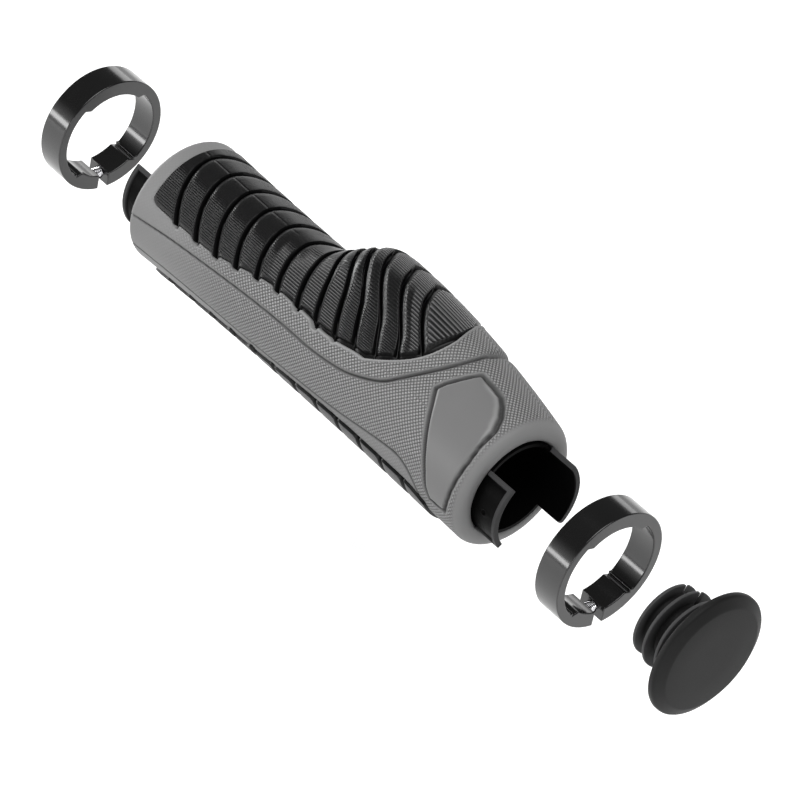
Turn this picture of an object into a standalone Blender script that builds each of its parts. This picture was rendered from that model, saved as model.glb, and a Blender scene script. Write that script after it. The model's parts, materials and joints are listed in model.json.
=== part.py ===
"""Lock-on ergonomic handlebar grip for the left hand, with its pieces drawn apart along the bar.

The bar's axis is X, pointing to the bar's outer end. Z is up and Y points to the rider. The origin is on
the axis, in the plane where the sleeve's outer tabs end. Places along the rubber body are given by the
distance u from its inner end face, and places round it by the angle a from +Z, positive towards +Y.
"""

import math

import bmesh
import bpy
from mathutils import Matrix, Vector

# Fits
CLEARANCE = 0.0003
BAR_RADIUS = 0.0111
BAR_FIT = 0.00005

# Rubber body
BODY_LENGTH = 0.122
END_RADIUS = 0.0165
WAIST_RADIUS = 0.0155
WAIST_AT = 0.052
INNER_ROUNDING = 0.0012
OUTER_ROUNDING = 0.0028

# Palm wing, on the rider's side of the outer half
WING_RISE = 0.0086
WING_LENGTH = 0.076
WING_SLOPE = 0.015
WING_ANGLE = 50.0
WING_SPREAD = 55.0
WING_SQUARENESS = 3.6

# Inner sleeve and its end tabs
SLEEVE_WALL = 0.00085
TAB_RISE = 0.0005
TAB_HALF_ANGLE = 42.5
TAB_BORDER = 0.0012
TAB_PANEL_DEPTH = 0.00025
TAB_HOLE_RADIUS = 0.0005

# Clamp rings
RING_WIDTH = 0.0075
RING_WALL = 0.0024
RING_EDGE = 0.00035
RING_SLIT = 0.0027
RING_INNER_TRAVEL = 0.029
RING_OUTER_TRAVEL = 0.0245
LUG_HALF_ANGLE = 40.0
LUG_NOTCH = 2.2
KEY_HALF_ANGLE = 41.0
KEY_FLANK = 2.5
SCREW_RADIUS = 0.00125
SCREW_LENGTH = 0.0115
SCREW_SOCKET = 0.0007

# End plug
PLUG_RADIUS = 0.0157
PLUG_THICKNESS = 0.003
PLUG_BEVEL = 0.0025
PLUG_RIM = 0.0017
PLUG_EDGE = 0.0003
PLUG_STEM_LENGTH = 0.0125
PLUG_FIN_RADIUS = 0.0099
PLUG_FIN_THICKNESS = 0.0009
PLUG_LAST_FIN_DROP = 0.0008
PLUG_CORE_RADIUS = 0.0066
PLUG_FINS = 3
PLUG_SLOT = 0.0016
PLUG_TRAVEL = 0.0300

# Black pads let into the rubber body
PAD_STAND = 0.0004
PAD_GROOVE_DEPTH = 0.0014
PAD_DEPTH = 0.0017
GROOVE_HALF_WIDTH = 0.0007
RIB_SHOULDER = 0.0010
PAD_MARGIN = 0.0006
SCALLOP = 0.0007

# Palm pad. The grooves over the wing are placed from where the wing starts, and each sweep is how far
# a groove leans along the body over a turn of SWEEP_TURN
PALM_STARTS = 0.0042
FIRST_GROOVE = 0.0069
SLIM_GROOVES = 5
WING_GROOVES = (-0.0022, 0.0028, 0.0052, 0.0074, 0.0097, 0.0141, 0.0212, 0.0289)
SWEEP_TURN = 60.0
SLIM_SWEEP = 0.0065
WING_SWEEP = 0.0141
WING_STEP = 0.0045
WING_STEP_ANGLE = -1.0
WING_STEP_HALF = 16.0
FAR_SWEEP = 0.0055
WING_CROWN = 30.0
CROWN_TURNS = (0.0, 0.0130)
PALM_EDGE = (-64.0, -50.0)
PALM_EDGE_TURNS = (-0.022, 0.004)
PALM_FAR_EDGE = 92.0
PALM_NOSE_MARGIN = 0.0294
PALM_NOSE_ANGLE = 8.0
PALM_NOSE_FALLS = (0.0091, 0.0069)
PALM_NOSE_TURN = 45.0

# Finger pad, under the bar
FINGER_STARTS = 0.0050
FINGER_END_MARGIN = 0.0120
FINGER_RIBS = 13
FINGER_EDGE = (226.0, 250.0)
FINGER_EDGE_TURNS = (0.010, 0.085)
FINGER_FAR_EDGE = 128.0
FINGER_CORNER = 0.008
FINGER_CORNER_TURN = 9.0
FINGER_CROWN = 184.0

# Lines pressed into the rubber body, as places in from its inner end or its outer end, and angles
LINE_WIDTH = 0.0011
LINE_DEPTH = 0.0007
LINE_OVERRUN = 0.002
UPPER_LINE_IN = ((0.0, -86.0), (0.013, -79.0))
UPPER_LINE_OUT = ((0.078, -71.5), (0.054, -69.5), (0.0414, -59.6), (0.0316, -37.5), (0.0255, -7.7),
                  (0.0230, 20.0), (0.0250, 55.0), (0.0320, 95.0), (0.0470, 114.0))
UPPER_LINE_BACK = ((0.045, 117.0), (0.0, 119.0))
LOWER_LINE_IN = ((0.0, -115.7), (0.029, -115.0))
LOWER_LINE_OUT = ((0.062, -110.0), (0.046, -104.0), (0.030, -95.5), (0.0225, -95.5), (0.0165, -107.0))
LOWER_LINE_END = -122.0
PANEL = ((0.0228, -25.1), (0.0183, 4.2), (0.0108, 2.1), (0.0051, -17.6), (0.0035, -52.0),
         (0.0043, -101.9), (0.0098, -103.2), (0.0137, -76.0), (0.0189, -45.4))

# Facets
BODY_STATIONS = 24
BODY_SIDES = 50
TUBE_SIDES = 40
PALM_ROWS = 6
LONGEST_RIB_FACET = 0.0075
FINGER_ROWS = 4
LINE_STEPS = 3

SLEEVE_BORE = BAR_RADIUS + BAR_FIT
SLEEVE_RADIUS = SLEEVE_BORE + SLEEVE_WALL
TAB_RADIUS = SLEEVE_RADIUS + TAB_RISE
TAB_LENGTH = RING_WIDTH + CLEARANCE
BODY_BORE = SLEEVE_RADIUS + CLEARANCE
BODY_OUTER_FACE = -TAB_LENGTH
BODY_INNER_FACE = BODY_OUTER_FACE - BODY_LENGTH
SLEEVE_LENGTH = BODY_LENGTH + 2.0 * TAB_LENGTH
WING_STARTS = BODY_LENGTH - WING_LENGTH
WING_PEAKS = WING_STARTS + WING_SLOPE
PALM_NOSE = BODY_LENGTH - PALM_NOSE_MARGIN
FINGER_ENDS = BODY_LENGTH - FINGER_END_MARGIN
RING_POCKET = TAB_RADIUS + CLEARANCE
RING_RADIUS = RING_POCKET + RING_WALL
RING_KEY = BAR_RADIUS + CLEARANCE
RING_SEAT = CLEARANCE + RING_WIDTH / 2.0
RING_INNER_AT = BODY_INNER_FACE - RING_SEAT - RING_INNER_TRAVEL
RING_OUTER_AT = BODY_OUTER_FACE + RING_SEAT + RING_OUTER_TRAVEL
PLUG_AT = RING_OUTER_AT + RING_WIDTH / 2.0 + CLEARANCE + PLUG_TRAVEL
SCREW_AT = (RING_KEY + RING_RADIUS) / 2.0
SCREW_HOLE = SCREW_RADIUS + CLEARANCE


def clear_scene():
    """Remove every object, so that the script can be run again in an open file."""
    for item in list(bpy.data.objects):
        bpy.data.objects.remove(item, do_unlink=True)


def new_collection(name):
    """A collection in the scene, made once."""
    group = bpy.data.collections.get(name) or bpy.data.collections.new(name)
    if group.name not in bpy.context.scene.collection.children:
        bpy.context.scene.collection.children.link(group)
    return group


def make_material(name, colour, roughness, metallic=0.0):
    """A plain surface of one colour."""
    material = bpy.data.materials.new(name)
    material.use_nodes = True
    shader = material.node_tree.nodes["Principled BSDF"]
    shader.inputs["Base Color"].default_value = (*colour, 1.0)
    shader.inputs["Roughness"].default_value = roughness
    shader.inputs["Metallic"].default_value = metallic
    return material


def ease(start, end, value):
    """0 before start, 1 after end, and a smooth step between them."""
    share = min(max((value - start) / (end - start), 0.0), 1.0)
    return share * share * (3.0 - 2.0 * share)


def blend(low, high, share):
    """The value a share of the way from low to high."""
    return low + (high - low) * share


def skin_radius(u, angle):
    """Radius of the rubber body's outside: a waisted round bar grip with a wing for the palm."""
    toward_end = (u - WAIST_AT) / (BODY_LENGTH - WAIST_AT) if u > WAIST_AT else (WAIST_AT - u) / WAIST_AT
    radius = blend(WAIST_RADIUS, END_RADIUS, toward_end ** 2)
    turn = (angle - WING_ANGLE + 180.0) % 360.0 - 180.0
    past_peak = max(u - WING_PEAKS, 0.0) / (BODY_LENGTH - WING_PEAKS)
    rise = WING_RISE * ease(WING_STARTS, WING_PEAKS, u) * (1.0 - min(past_peak, 1.0) ** 1.8)
    return radius + rise * math.exp(-abs(turn / WING_SPREAD) ** WING_SQUARENESS)


def place(u, angle, radius):
    """World place of a point at u along the body, at an angle round it and a radius from the axis."""
    a = math.radians(angle)
    return Vector((BODY_INNER_FACE + u, radius * math.sin(a), radius * math.cos(a)))


def on_skin(u, angle, lift=0.0):
    """World place of a point on the body's outside, lifted off it or sunk into it."""
    return place(u, angle, skin_radius(u, angle) + lift)


def degrees_for(length, u, angle):
    """The angle that a length covers round the body's outside."""
    return math.degrees(length / skin_radius(u, angle))


def mesh_object(name, build, group, material=None):
    """An object whose mesh is written by build, with its faces turned outwards."""
    mesh = bpy.data.meshes.new(name)
    bm = bmesh.new()
    build(bm)
    bmesh.ops.recalc_face_normals(bm, faces=bm.faces)
    if bm.calc_volume(signed=True) < 0.0:
        bmesh.ops.reverse_faces(bm, faces=bm.faces)
    bm.to_mesh(mesh)
    bm.free()
    item = bpy.data.objects.new(name, mesh)
    group.objects.link(item)
    if material:
        mesh.materials.append(material)
    return item


def as_cutter(item):
    """Mark an object as a shape that only cuts."""
    item.hide_render = True
    item.display_type = "WIRE"
    return item


def cut(target, tool):
    """Cut a target with a tool."""
    modifier = target.modifiers.new(tool.name, "BOOLEAN")
    modifier.operation = "DIFFERENCE"
    modifier.object = tool
    modifier.solver = "EXACT"


def shade(item, angle=35.0):
    """Smooth faces that meet at a shallow angle."""
    item.data.shade_smooth()
    item.data.set_sharp_from_angle(angle=math.radians(angle))


def bridge(bm, first, second, closed=True):
    """Faces between two rows of vertices."""
    count = len(first)
    for i in range(count if closed else count - 1):
        j = (i + 1) % count
        bm.faces.new((first[i], first[j], second[j], second[i]))


def loft(bm, sections):
    """A closed solid through sections that each have as many points."""
    rows = [[bm.verts.new(point) for point in section] for section in sections]
    for first, second in zip(rows, rows[1:]):
        bridge(bm, first, second)
    bm.faces.new(rows[0])
    bm.faces.new(list(reversed(rows[-1])))


def slab(bm, top, bottom):
    """A closed solid between two grids of points, each a list of columns, cut along like diagonals."""
    upper = [[bm.verts.new(point) for point in column] for column in top]
    lower = [[bm.verts.new(point) for point in column] for column in bottom]
    for grid in (upper, lower):
        for first, second in zip(grid, grid[1:]):
            for i in range(len(first) - 1):
                bm.faces.new((first[i], first[i + 1], second[i + 1]))
                bm.faces.new((first[i], second[i + 1], second[i]))
    for edge in (0, -1):
        bridge(bm, upper[edge], lower[edge], closed=False)
        bridge(bm, [column[edge] for column in upper], [column[edge] for column in lower], closed=False)


def tube_about_x(name, start, end, radius, group):
    """A cylinder on the bar's axis, as a cutter."""
    length = end - start
    turn = Matrix.Rotation(math.pi / 2.0, 4, "Y")

    def build(bm):
        middle = Matrix.Translation(((start + end) / 2.0, 0.0, 0.0))
        bmesh.ops.create_cone(bm, cap_ends=True, segments=TUBE_SIDES, radius1=radius, radius2=radius,
                              depth=length, matrix=middle @ turn)

    return as_cutter(mesh_object(name, build, group))


def rod_along_y(name, centre, radius, length, group, sides=20):
    """A round rod across the bar, as a cutter."""
    turn = Matrix.Rotation(math.pi / 2.0, 4, "X")

    def build(bm):
        bmesh.ops.create_cone(bm, cap_ends=True, segments=sides, radius1=radius, radius2=radius,
                              depth=length, matrix=Matrix.Translation(centre) @ turn)

    return as_cutter(mesh_object(name, build, group))


def turned(name, profile, group, material, sides=TUBE_SIDES):
    """A solid turned about X from an outline of (x, radius) points that runs down its outer side."""
    mesh = bpy.data.meshes.new(name)
    points = [(x, 0.0, radius) for x, radius in profile]
    edges = [(i, i + 1) for i in range(len(points) - 1)]
    if profile[0][1] > 0.0:
        edges.append((len(points) - 1, 0))
    mesh.from_pydata(points, edges, [])
    item = bpy.data.objects.new(name, mesh)
    group.objects.link(item)
    mesh.materials.append(material)
    screw = item.modifiers.new("Turn", "SCREW")
    screw.axis = "X"
    screw.steps = sides
    screw.render_steps = sides
    screw.use_merge_vertices = True
    screw.merge_threshold = 0.00001
    screw.use_normal_calculate = True
    return item


def groove_apexes():
    """Places where the palm pad's grooves cross its crown, from the inner end outwards."""
    over_wing = [WING_STARTS + offset for offset in WING_GROOVES]
    pitch = (over_wing[0] - FIRST_GROOVE) / SLIM_GROOVES
    return [FIRST_GROOVE + pitch * i for i in range(SLIM_GROOVES)] + over_wing


def wing_share(apex):
    """How far the palm pad has turned from its slim part to the wing, from 0 to 1."""
    return ease(WING_STARTS + CROWN_TURNS[0], WING_STARTS + CROWN_TURNS[1], apex)


def crown_angle(apex):
    """Angle of the palm pad's crown: on top along the slim part, on the wing's shoulder further out."""
    return WING_CROWN * wing_share(apex)


def palm_line(apex, angle):
    """Place along the body of a line across the palm pad that crosses the crown at apex."""
    slim = SLIM_SWEEP * (max(-angle, 0.0) / SWEEP_TURN) ** 1.7
    over_wing = WING_SWEEP * max(WING_CROWN - angle, 0.0) / SWEEP_TURN
    over_wing += WING_STEP * ease(-WING_STEP_HALF, WING_STEP_HALF, WING_STEP_ANGLE - angle)
    far = FAR_SWEEP * (max(angle - crown_angle(apex), 0.0) / SWEEP_TURN) ** 1.5
    sweep = blend(slim, over_wing, wing_share(apex)) + far
    return apex + sweep * min((apex - PALM_STARTS) / (FIRST_GROOVE - PALM_STARTS), 1.0)


def palm_nose(angle):
    """Place along the body of the palm pad's rounded outer end."""
    turn = (angle - PALM_NOSE_ANGLE) / PALM_NOSE_TURN
    near, far = PALM_NOSE_FALLS
    return PALM_NOSE - (near * turn ** 2 if turn < 0.0 else far * turn ** 1.25)


def palm_inside(apex, angle):
    """True where a line across the palm pad is still on the pad."""
    u = palm_line(apex, angle)
    turns = [WING_STARTS + offset for offset in PALM_EDGE_TURNS]
    near = blend(*PALM_EDGE, ease(*turns, u))
    return near < angle < PALM_FAR_EDGE and u < palm_nose(angle)


def finger_line(apex, angle):
    """Place along the body of a line across the finger pad."""
    return apex


def finger_inside(apex, angle):
    """True where a line across the finger pad is still on the pad."""
    ends = min(apex - FINGER_STARTS, FINGER_ENDS - apex)
    corner = FINGER_CORNER_TURN * (1.0 - min(max(ends, 0.0) / FINGER_CORNER, 1.0)) ** 2
    near = blend(*FINGER_EDGE, ease(*FINGER_EDGE_TURNS, apex))
    return FINGER_FAR_EDGE + corner < angle < near - corner


def line_end(inside, apex, middle, step):
    """Angle at which a line leaves its pad, on the side that step points to."""
    held, lost = middle, middle + step
    for _ in range(30):
        tried = (held + lost) / 2.0
        if inside(apex, tried):
            held = tried
        else:
            lost = tried
    return held


def pad_columns(grooves, start, end):
    """Lines across a pad along its grooves and the edges of its ribs, with their share of full height."""
    bounds = [start] + list(grooves) + [end]
    columns = []
    for first, second in zip(bounds, bounds[1:]):
        width = second - first
        wall = min(GROOVE_HALF_WIDTH, width / 3.0)
        spans = math.ceil((width - 2.0 * wall) / LONGEST_RIB_FACET)
        tops = [blend(wall, width - wall, i / spans) for i in range(spans + 1)]
        columns += [(first, 0.0)] + [(first + offset, 1.0) for offset in tops]
    return columns + [(end, 0.0)]


def pad_rows(middle_rows):
    """Distances in from a pad's edge with the share of a rib's full height, then shares of the middle."""
    edge = [(0.0, 0.0), (PAD_MARGIN, 0.0), (PAD_MARGIN + RIB_SHOULDER, 1.0)]
    return edge, [(i + 1) / (middle_rows + 1) for i in range(middle_rows)]


def pad_grid(pad, lift, grow=0.0):
    """Columns of points over a pad, at a height over the skin that lift gives for each rib share."""
    line, inside, crown, columns, middle_rows = pad
    edge_rows, middle = pad_rows(middle_rows)
    if grow:
        edge_rows = [edge_rows[0], edge_rows[-1]]
    grid = []
    for index, (apex, height) in enumerate(columns):
        top = crown(apex)
        ends = []
        for step in (-130.0, 130.0):
            limit = line_end(inside, apex, top, step)
            outwards = math.copysign(degrees_for(SCALLOP * height, line(apex, limit), limit), step)
            ends.append(limit + outwards)
        low, high = ends
        u_mid = line(apex, top)
        edge_turn = min(degrees_for(edge_rows[-1][0], u_mid, low), (high - low) / 3.0)
        turns = [edge_turn * distance / edge_rows[-1][0] for distance, _ in edge_rows]
        near = [(low + turn, share) for turn, (_, share) in zip(turns, edge_rows)]
        far = [(high - turn, share) for turn, (_, share) in reversed(list(zip(turns, edge_rows)))]
        inner = [(blend(near[-1][0], far[0][0], share), 1.0) for share in middle]
        near[0] = (low - degrees_for(grow, u_mid, low), near[0][1])
        far[-1] = (high + degrees_for(grow, u_mid, high), far[-1][1])
        nudge = {0: -grow, len(columns) - 1: grow}.get(index, 0.0)
        grid.append([on_skin(line(apex, angle) + nudge, angle, lift(min(height, share)))
                     for angle, share in near + inner + far])
    return grid


def palm_pad_layout():
    """The palm pad's lines, from its straight inner edge to the nose."""
    columns = pad_columns(groove_apexes(), PALM_STARTS, palm_nose(WING_CROWN) - CLEARANCE)
    return palm_line, palm_inside, crown_angle, columns, PALM_ROWS


def finger_pad_layout():
    """The finger pad's straight lines across the underside."""
    pitch = (FINGER_ENDS - FINGER_STARTS) / FINGER_RIBS
    grooves = [FINGER_STARTS + pitch * (i + 1) for i in range(FINGER_RIBS - 1)]
    columns = pad_columns(grooves, FINGER_STARTS, FINGER_ENDS)
    return finger_line, finger_inside, lambda apex: FINGER_CROWN, columns, FINGER_ROWS


def make_pad(name, layout, group, material):
    """A ribbed pad that follows the body's skin."""
    def rib_top(share):
        return PAD_STAND - PAD_GROOVE_DEPTH * (1.0 - share)

    top = pad_grid(layout, rib_top)
    bottom = pad_grid(layout, lambda share: -PAD_DEPTH)
    pad = mesh_object(name, lambda bm: slab(bm, top, bottom), group, material)
    shade(pad, 30.0)
    return pad


def pad_recess(name, layout, group):
    """The hollow in the body that takes a pad, a clearance larger all round."""
    top = pad_grid(layout, lambda share: WING_RISE, CLEARANCE)
    bottom = pad_grid(layout, lambda share: -PAD_DEPTH - CLEARANCE, CLEARANCE)
    return as_cutter(mesh_object(name, lambda bm: slab(bm, top, bottom), group))


def smooth_path(points, per_span):
    """A smooth line through (u, angle) points."""
    path = []
    for i in range(len(points) - 1):
        before = points[max(i - 1, 0)]
        first, second = points[i], points[i + 1]
        after = points[min(i + 2, len(points) - 1)]
        for k in range(per_span):
            t = k / per_span
            path.append(tuple(
                0.5 * (2.0 * q + (r - p) * t + (2.0 * p - 5.0 * q + 4.0 * r - s) * t ** 2
                       + (3.0 * q - p - 3.0 * r + s) * t ** 3)
                for p, q, r, s in zip(before, first, second, after)))
    return path + [points[-1]]


def from_outer_end(points):
    """Places along the body of points that are given from its outer end."""
    return tuple((BODY_LENGTH - distance, angle) for distance, angle in points)


def overrun(point):
    """A point just past the body's inner end, so that a line cuts right through its rim."""
    return ((point[0] - LINE_OVERRUN, point[1]),)


def pressed_line(name, path, group, closed=False):
    """A cutter for a shallow line with sloped sides, along a path on the skin."""
    sections = []
    count = len(path)
    for i, (u, angle) in enumerate(path):
        before = path[(i - 1) % count] if closed else path[max(i - 1, 0)]
        after = path[(i + 1) % count] if closed else path[min(i + 1, count - 1)]
        forward = (on_skin(*after) - on_skin(*before)).normalized()
        out = (place(u, angle, 1.0) - place(u, angle, 0.0)).normalized()
        side = forward.cross(out).normalized()
        centre = on_skin(u, angle)
        half = side * LINE_WIDTH / 2.0
        above = out * LINE_DEPTH
        sections.append((centre + half * 2.0 + above, centre - half * 2.0 + above,
                         centre - half * 0.4 - above, centre + half * 0.4 - above))

    def build(bm):
        if closed:
            rows = [[bm.verts.new(point) for point in section] for section in sections]
            for first, second in zip(rows, rows[1:] + rows[:1]):
                bridge(bm, first, second)
        else:
            loft(bm, sections)

    return as_cutter(mesh_object(name, build, group))


def body_sections():
    """Rounds through the rubber body from end to end, rolled over at both end faces."""
    turns = [math.pi / 2.0 * i / 4 for i in range(5)]
    near = [(INNER_ROUNDING * (1.0 - math.sin(t)), INNER_ROUNDING * (1.0 - math.cos(t)))
            for t in reversed(turns)]
    far = [(BODY_LENGTH - OUTER_ROUNDING * (1.0 - math.sin(t)), OUTER_ROUNDING * (1.0 - math.cos(t)))
           for t in turns]
    span = far[0][0] - INNER_ROUNDING
    middle = [(INNER_ROUNDING + span * i / BODY_STATIONS, 0.0) for i in range(1, BODY_STATIONS)]
    return [[on_skin(u, 360.0 * i / BODY_SIDES, -drop) for i in range(BODY_SIDES)]
            for u, drop in near + middle + far]


def make_body(group, cutters, material):
    """The grey rubber body with its bore, its two pad hollows and its pressed lines."""
    body = mesh_object("rubber_body", lambda bm: loft(bm, body_sections()), group, material)
    cut(body, tube_about_x("bore", BODY_INNER_FACE - END_RADIUS, BODY_OUTER_FACE + END_RADIUS,
                               BODY_BORE, cutters))
    cut(body, pad_recess("palm_hollow", palm_pad_layout(), cutters))
    cut(body, pad_recess("finger_hollow", finger_pad_layout(), cutters))
    upper = UPPER_LINE_IN + from_outer_end(UPPER_LINE_OUT) + UPPER_LINE_BACK
    ends_at = ((FINGER_END_MARGIN + LINE_WIDTH, LOWER_LINE_END),)
    lower = LOWER_LINE_IN + from_outer_end(LOWER_LINE_OUT + ends_at)
    upper = overrun(upper[0]) + upper + overrun(upper[-1])
    lower = overrun(lower[0]) + lower
    cut(body, pressed_line("upper_line", smooth_path(upper, LINE_STEPS), cutters))
    cut(body, pressed_line("lower_line", smooth_path(lower, LINE_STEPS), cutters))
    outline = from_outer_end(PANEL)
    outline = smooth_path(outline + outline[:1], LINE_STEPS)[:-1]
    cut(body, pressed_line("panel_line", outline, cutters, closed=True))
    shade(body, 30.0)
    return body


def sector(bm, start, end, radius, middle, half_angle):
    """A wedge-shaped block about the bar's axis."""
    angles = [middle + half_angle * t for t in (-1.0, -0.5, 0.0, 0.5, 1.0)]
    sections = []
    for x in (start, end):
        rim = [Vector((x, radius * math.sin(math.radians(a)), radius * math.cos(math.radians(a))))
               for a in angles]
        sections.append([Vector((x, 0.0, 0.0))] + rim)
    loft(bm, sections)


def curved_plate(bm, start, end, inner, outer, middle, half_angle):
    """A plate bent about the bar's axis."""
    angles = [math.radians(middle + half_angle * (i / 5.0 - 1.0)) for i in range(11)]
    loft(bm, [[Vector((x, radius * math.sin(a), radius * math.cos(a))) for radius, turns in
               ((inner, angles), (outer, angles[::-1])) for a in turns] for x in (start, end)])


def make_sleeve(group, cutters, material):
    """The plastic sleeve on the bar, with two tabs at each end for the clamp rings."""
    shoulder = TAB_LENGTH - CLEARANCE
    left = -SLEEVE_LENGTH
    profile = [(0.0, SLEEVE_BORE), (0.0, TAB_RADIUS), (-shoulder, TAB_RADIUS), (-shoulder, SLEEVE_RADIUS),
               (left + shoulder, SLEEVE_RADIUS), (left + shoulder, TAB_RADIUS), (left, TAB_RADIUS),
               (left, SLEEVE_BORE)]
    sleeve = turned("inner_sleeve", profile, group, material)
    gap = 90.0 - TAB_HALF_ANGLE
    reach = TAB_RADIUS * 1.5
    for end, start, stop in (("outer", -TAB_LENGTH, TAB_LENGTH), ("inner", left - TAB_LENGTH,
                                                                 left + TAB_LENGTH)):
        for side, middle in (("top", 0.0), ("bottom", 180.0)):
            notch = mesh_object(f"{end}_{side}_notch",
                                lambda bm: sector(bm, start, stop, reach, middle, gap), cutters)
            cut(sleeve, as_cutter(notch))
    field = TAB_HALF_ANGLE - math.degrees(TAB_BORDER / TAB_RADIUS)
    for end, start, stop in (("outer", -TAB_LENGTH, -TAB_BORDER), ("inner", left + TAB_BORDER,
                                                                    left + TAB_LENGTH)):
        for side, middle in (("near", -90.0), ("far", 90.0)):
            sunk = mesh_object(f"{end}_{side}_tab_field", lambda bm: curved_plate(
                bm, start, stop, TAB_RADIUS - TAB_PANEL_DEPTH, reach, middle, field), cutters)
            cut(sleeve, as_cutter(sunk))
    for end, x in (("outer", -TAB_LENGTH / 2.0), ("inner", left + TAB_LENGTH / 2.0)):
        cut(sleeve, rod_along_y(f"{end}_tab_holes", (x, 0.0, 0.0), TAB_HOLE_RADIUS,
                                    4.0 * TAB_RADIUS, cutters, 12))
    return sleeve


def arc(radius, first, last, steps):
    """Points of an arc about the bar's axis, as (radius, angle)."""
    return [(radius, blend(first, last, i / steps)) for i in range(steps + 1)]


def ring_outline():
    """A clamp ring's outline as (radius, angle): keys at the top and beside the slit, pockets between."""
    slit_in = math.degrees(math.asin(RING_SLIT / 2.0 / RING_KEY))
    slit_out = math.degrees(math.asin(RING_SLIT / 2.0 / RING_RADIUS))
    relief = (RING_KEY + RING_POCKET) / 2.0
    key, lug = KEY_HALF_ANGLE, 180.0 - LUG_HALF_ANGLE
    inside = (arc(RING_KEY, 0.0, key - KEY_FLANK, 5) + [(relief, key)]
              + arc(RING_POCKET, key + KEY_FLANK, lug - 3.0 * LUG_NOTCH, 10)
              + [(relief, lug - 2.0 * LUG_NOTCH), (RING_POCKET, lug - LUG_NOTCH), (relief, lug)]
              + arc(RING_KEY, lug + KEY_FLANK, 180.0 - slit_in, 4))
    outside = arc(RING_RADIUS, 180.0 - slit_out, 0.0, 20)
    mirrored = [(radius, 360.0 - angle) for radius, angle in inside[1:] + outside[:-1]]
    return inside + outside + mirrored[::-1]


def make_ring(name, x, group, cutters, material):
    """A split clamp ring with two keys that reach down to the bar between the sleeve's tabs."""
    outline = [(r * math.sin(math.radians(a)), r * math.cos(math.radians(a))) for r, a in ring_outline()]

    def build(bm):
        loft(bm, [[Vector((side * RING_WIDTH / 2.0, y, z)) for y, z in outline] for side in (-1.0, 1.0)])

    ring = mesh_object(name, build, group, material)
    ring.location.x = x
    bevel = ring.modifiers.new("Edges", "BEVEL")
    bevel.width = RING_EDGE
    bevel.segments = 1
    bevel.limit_method = "ANGLE"
    bevel.angle_limit = math.radians(60.0)
    cut(ring, rod_along_y(f"{name}_screw_hole", (x, 0.0, -SCREW_AT), SCREW_HOLE,
                              4.0 * RING_RADIUS, cutters))
    shade(ring)
    return ring


def make_screw(name, x, group, cutters, material):
    """The clamp screw that crosses the slit, with a six-sided socket in its end."""
    turn = Matrix.Rotation(math.pi / 2.0, 4, "X")

    def build(bm):
        bmesh.ops.create_cone(bm, cap_ends=True, segments=20, radius1=SCREW_RADIUS,
                              radius2=SCREW_RADIUS, depth=SCREW_LENGTH, matrix=turn)

    screw = mesh_object(name, build, group, material)
    screw.location = (x, 0.0, -SCREW_AT)
    socket = rod_along_y(f"{name}_socket", (x, -SCREW_LENGTH / 2.0, -SCREW_AT), SCREW_SOCKET,
                         2.0 * SCREW_RADIUS, cutters, 6)
    cut(screw, socket)
    shade(screw)
    return screw


def plug_profile():
    """Half outline of the end plug from the middle of its outer face to the tip of its stem."""
    face = PLUG_THICKNESS
    flat = PLUG_RADIUS - PLUG_BEVEL
    edge = PLUG_EDGE
    profile = [(face, 0.0), (face, flat), (face - edge, flat + 2.0 * edge), (PLUG_RIM, PLUG_RADIUS - edge),
               (PLUG_RIM - edge, PLUG_RADIUS), (edge, PLUG_RADIUS), (0.0, PLUG_RADIUS - edge),
               (0.0, PLUG_CORE_RADIUS)]
    pitch = (PLUG_STEM_LENGTH - PLUG_FIN_THICKNESS) / PLUG_FINS
    for fin in range(PLUG_FINS):
        back = -pitch * (fin + 1)
        front = back - PLUG_FIN_THICKNESS
        rim = PLUG_FIN_RADIUS - (PLUG_LAST_FIN_DROP if fin == PLUG_FINS - 1 else 0.0)
        profile += [(back + edge, PLUG_CORE_RADIUS), (back, rim), (front, rim - edge)]
        if fin < PLUG_FINS - 1:
            profile += [(front - edge, PLUG_CORE_RADIUS)]
    tip = -PLUG_STEM_LENGTH
    return profile + [(tip, PLUG_CORE_RADIUS), (tip, 0.0)]


def make_plug(group, cutters, material):
    """The push-in end plug, with slots across its fins so that they can give."""
    plug = turned("end_plug", plug_profile(), group, material)
    plug.location.x = PLUG_AT

    def slot(bm, first, second):
        depth = PLUG_STEM_LENGTH - PLUG_FIN_THICKNESS
        offset = Matrix.Translation((PLUG_AT - PLUG_STEM_LENGTH + depth / 2.0 - CLEARANCE, 0.0, 0.0))
        size = Matrix.Diagonal((depth, first, second, 1.0))
        bmesh.ops.create_cube(bm, size=1.0, matrix=offset @ size)

    for name, y, z in (("upper", 0.0, 1.0), ("lower", 0.0, -1.0), ("rider", 1.0, 0.0), ("far", -1.0, 0.0)):
        middle = (PLUG_CORE_RADIUS + PLUG_FIN_RADIUS * 1.1) / 2.0
        length = PLUG_FIN_RADIUS * 1.1 - PLUG_CORE_RADIUS
        cutter = mesh_object(f"plug_{name}_slot", lambda bm: slot(
            bm, length if y else PLUG_SLOT, length if z else PLUG_SLOT), cutters)
        cutter.location = (0.0, y * middle, z * middle)
        cut(plug, as_cutter(cutter))
    return plug


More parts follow.
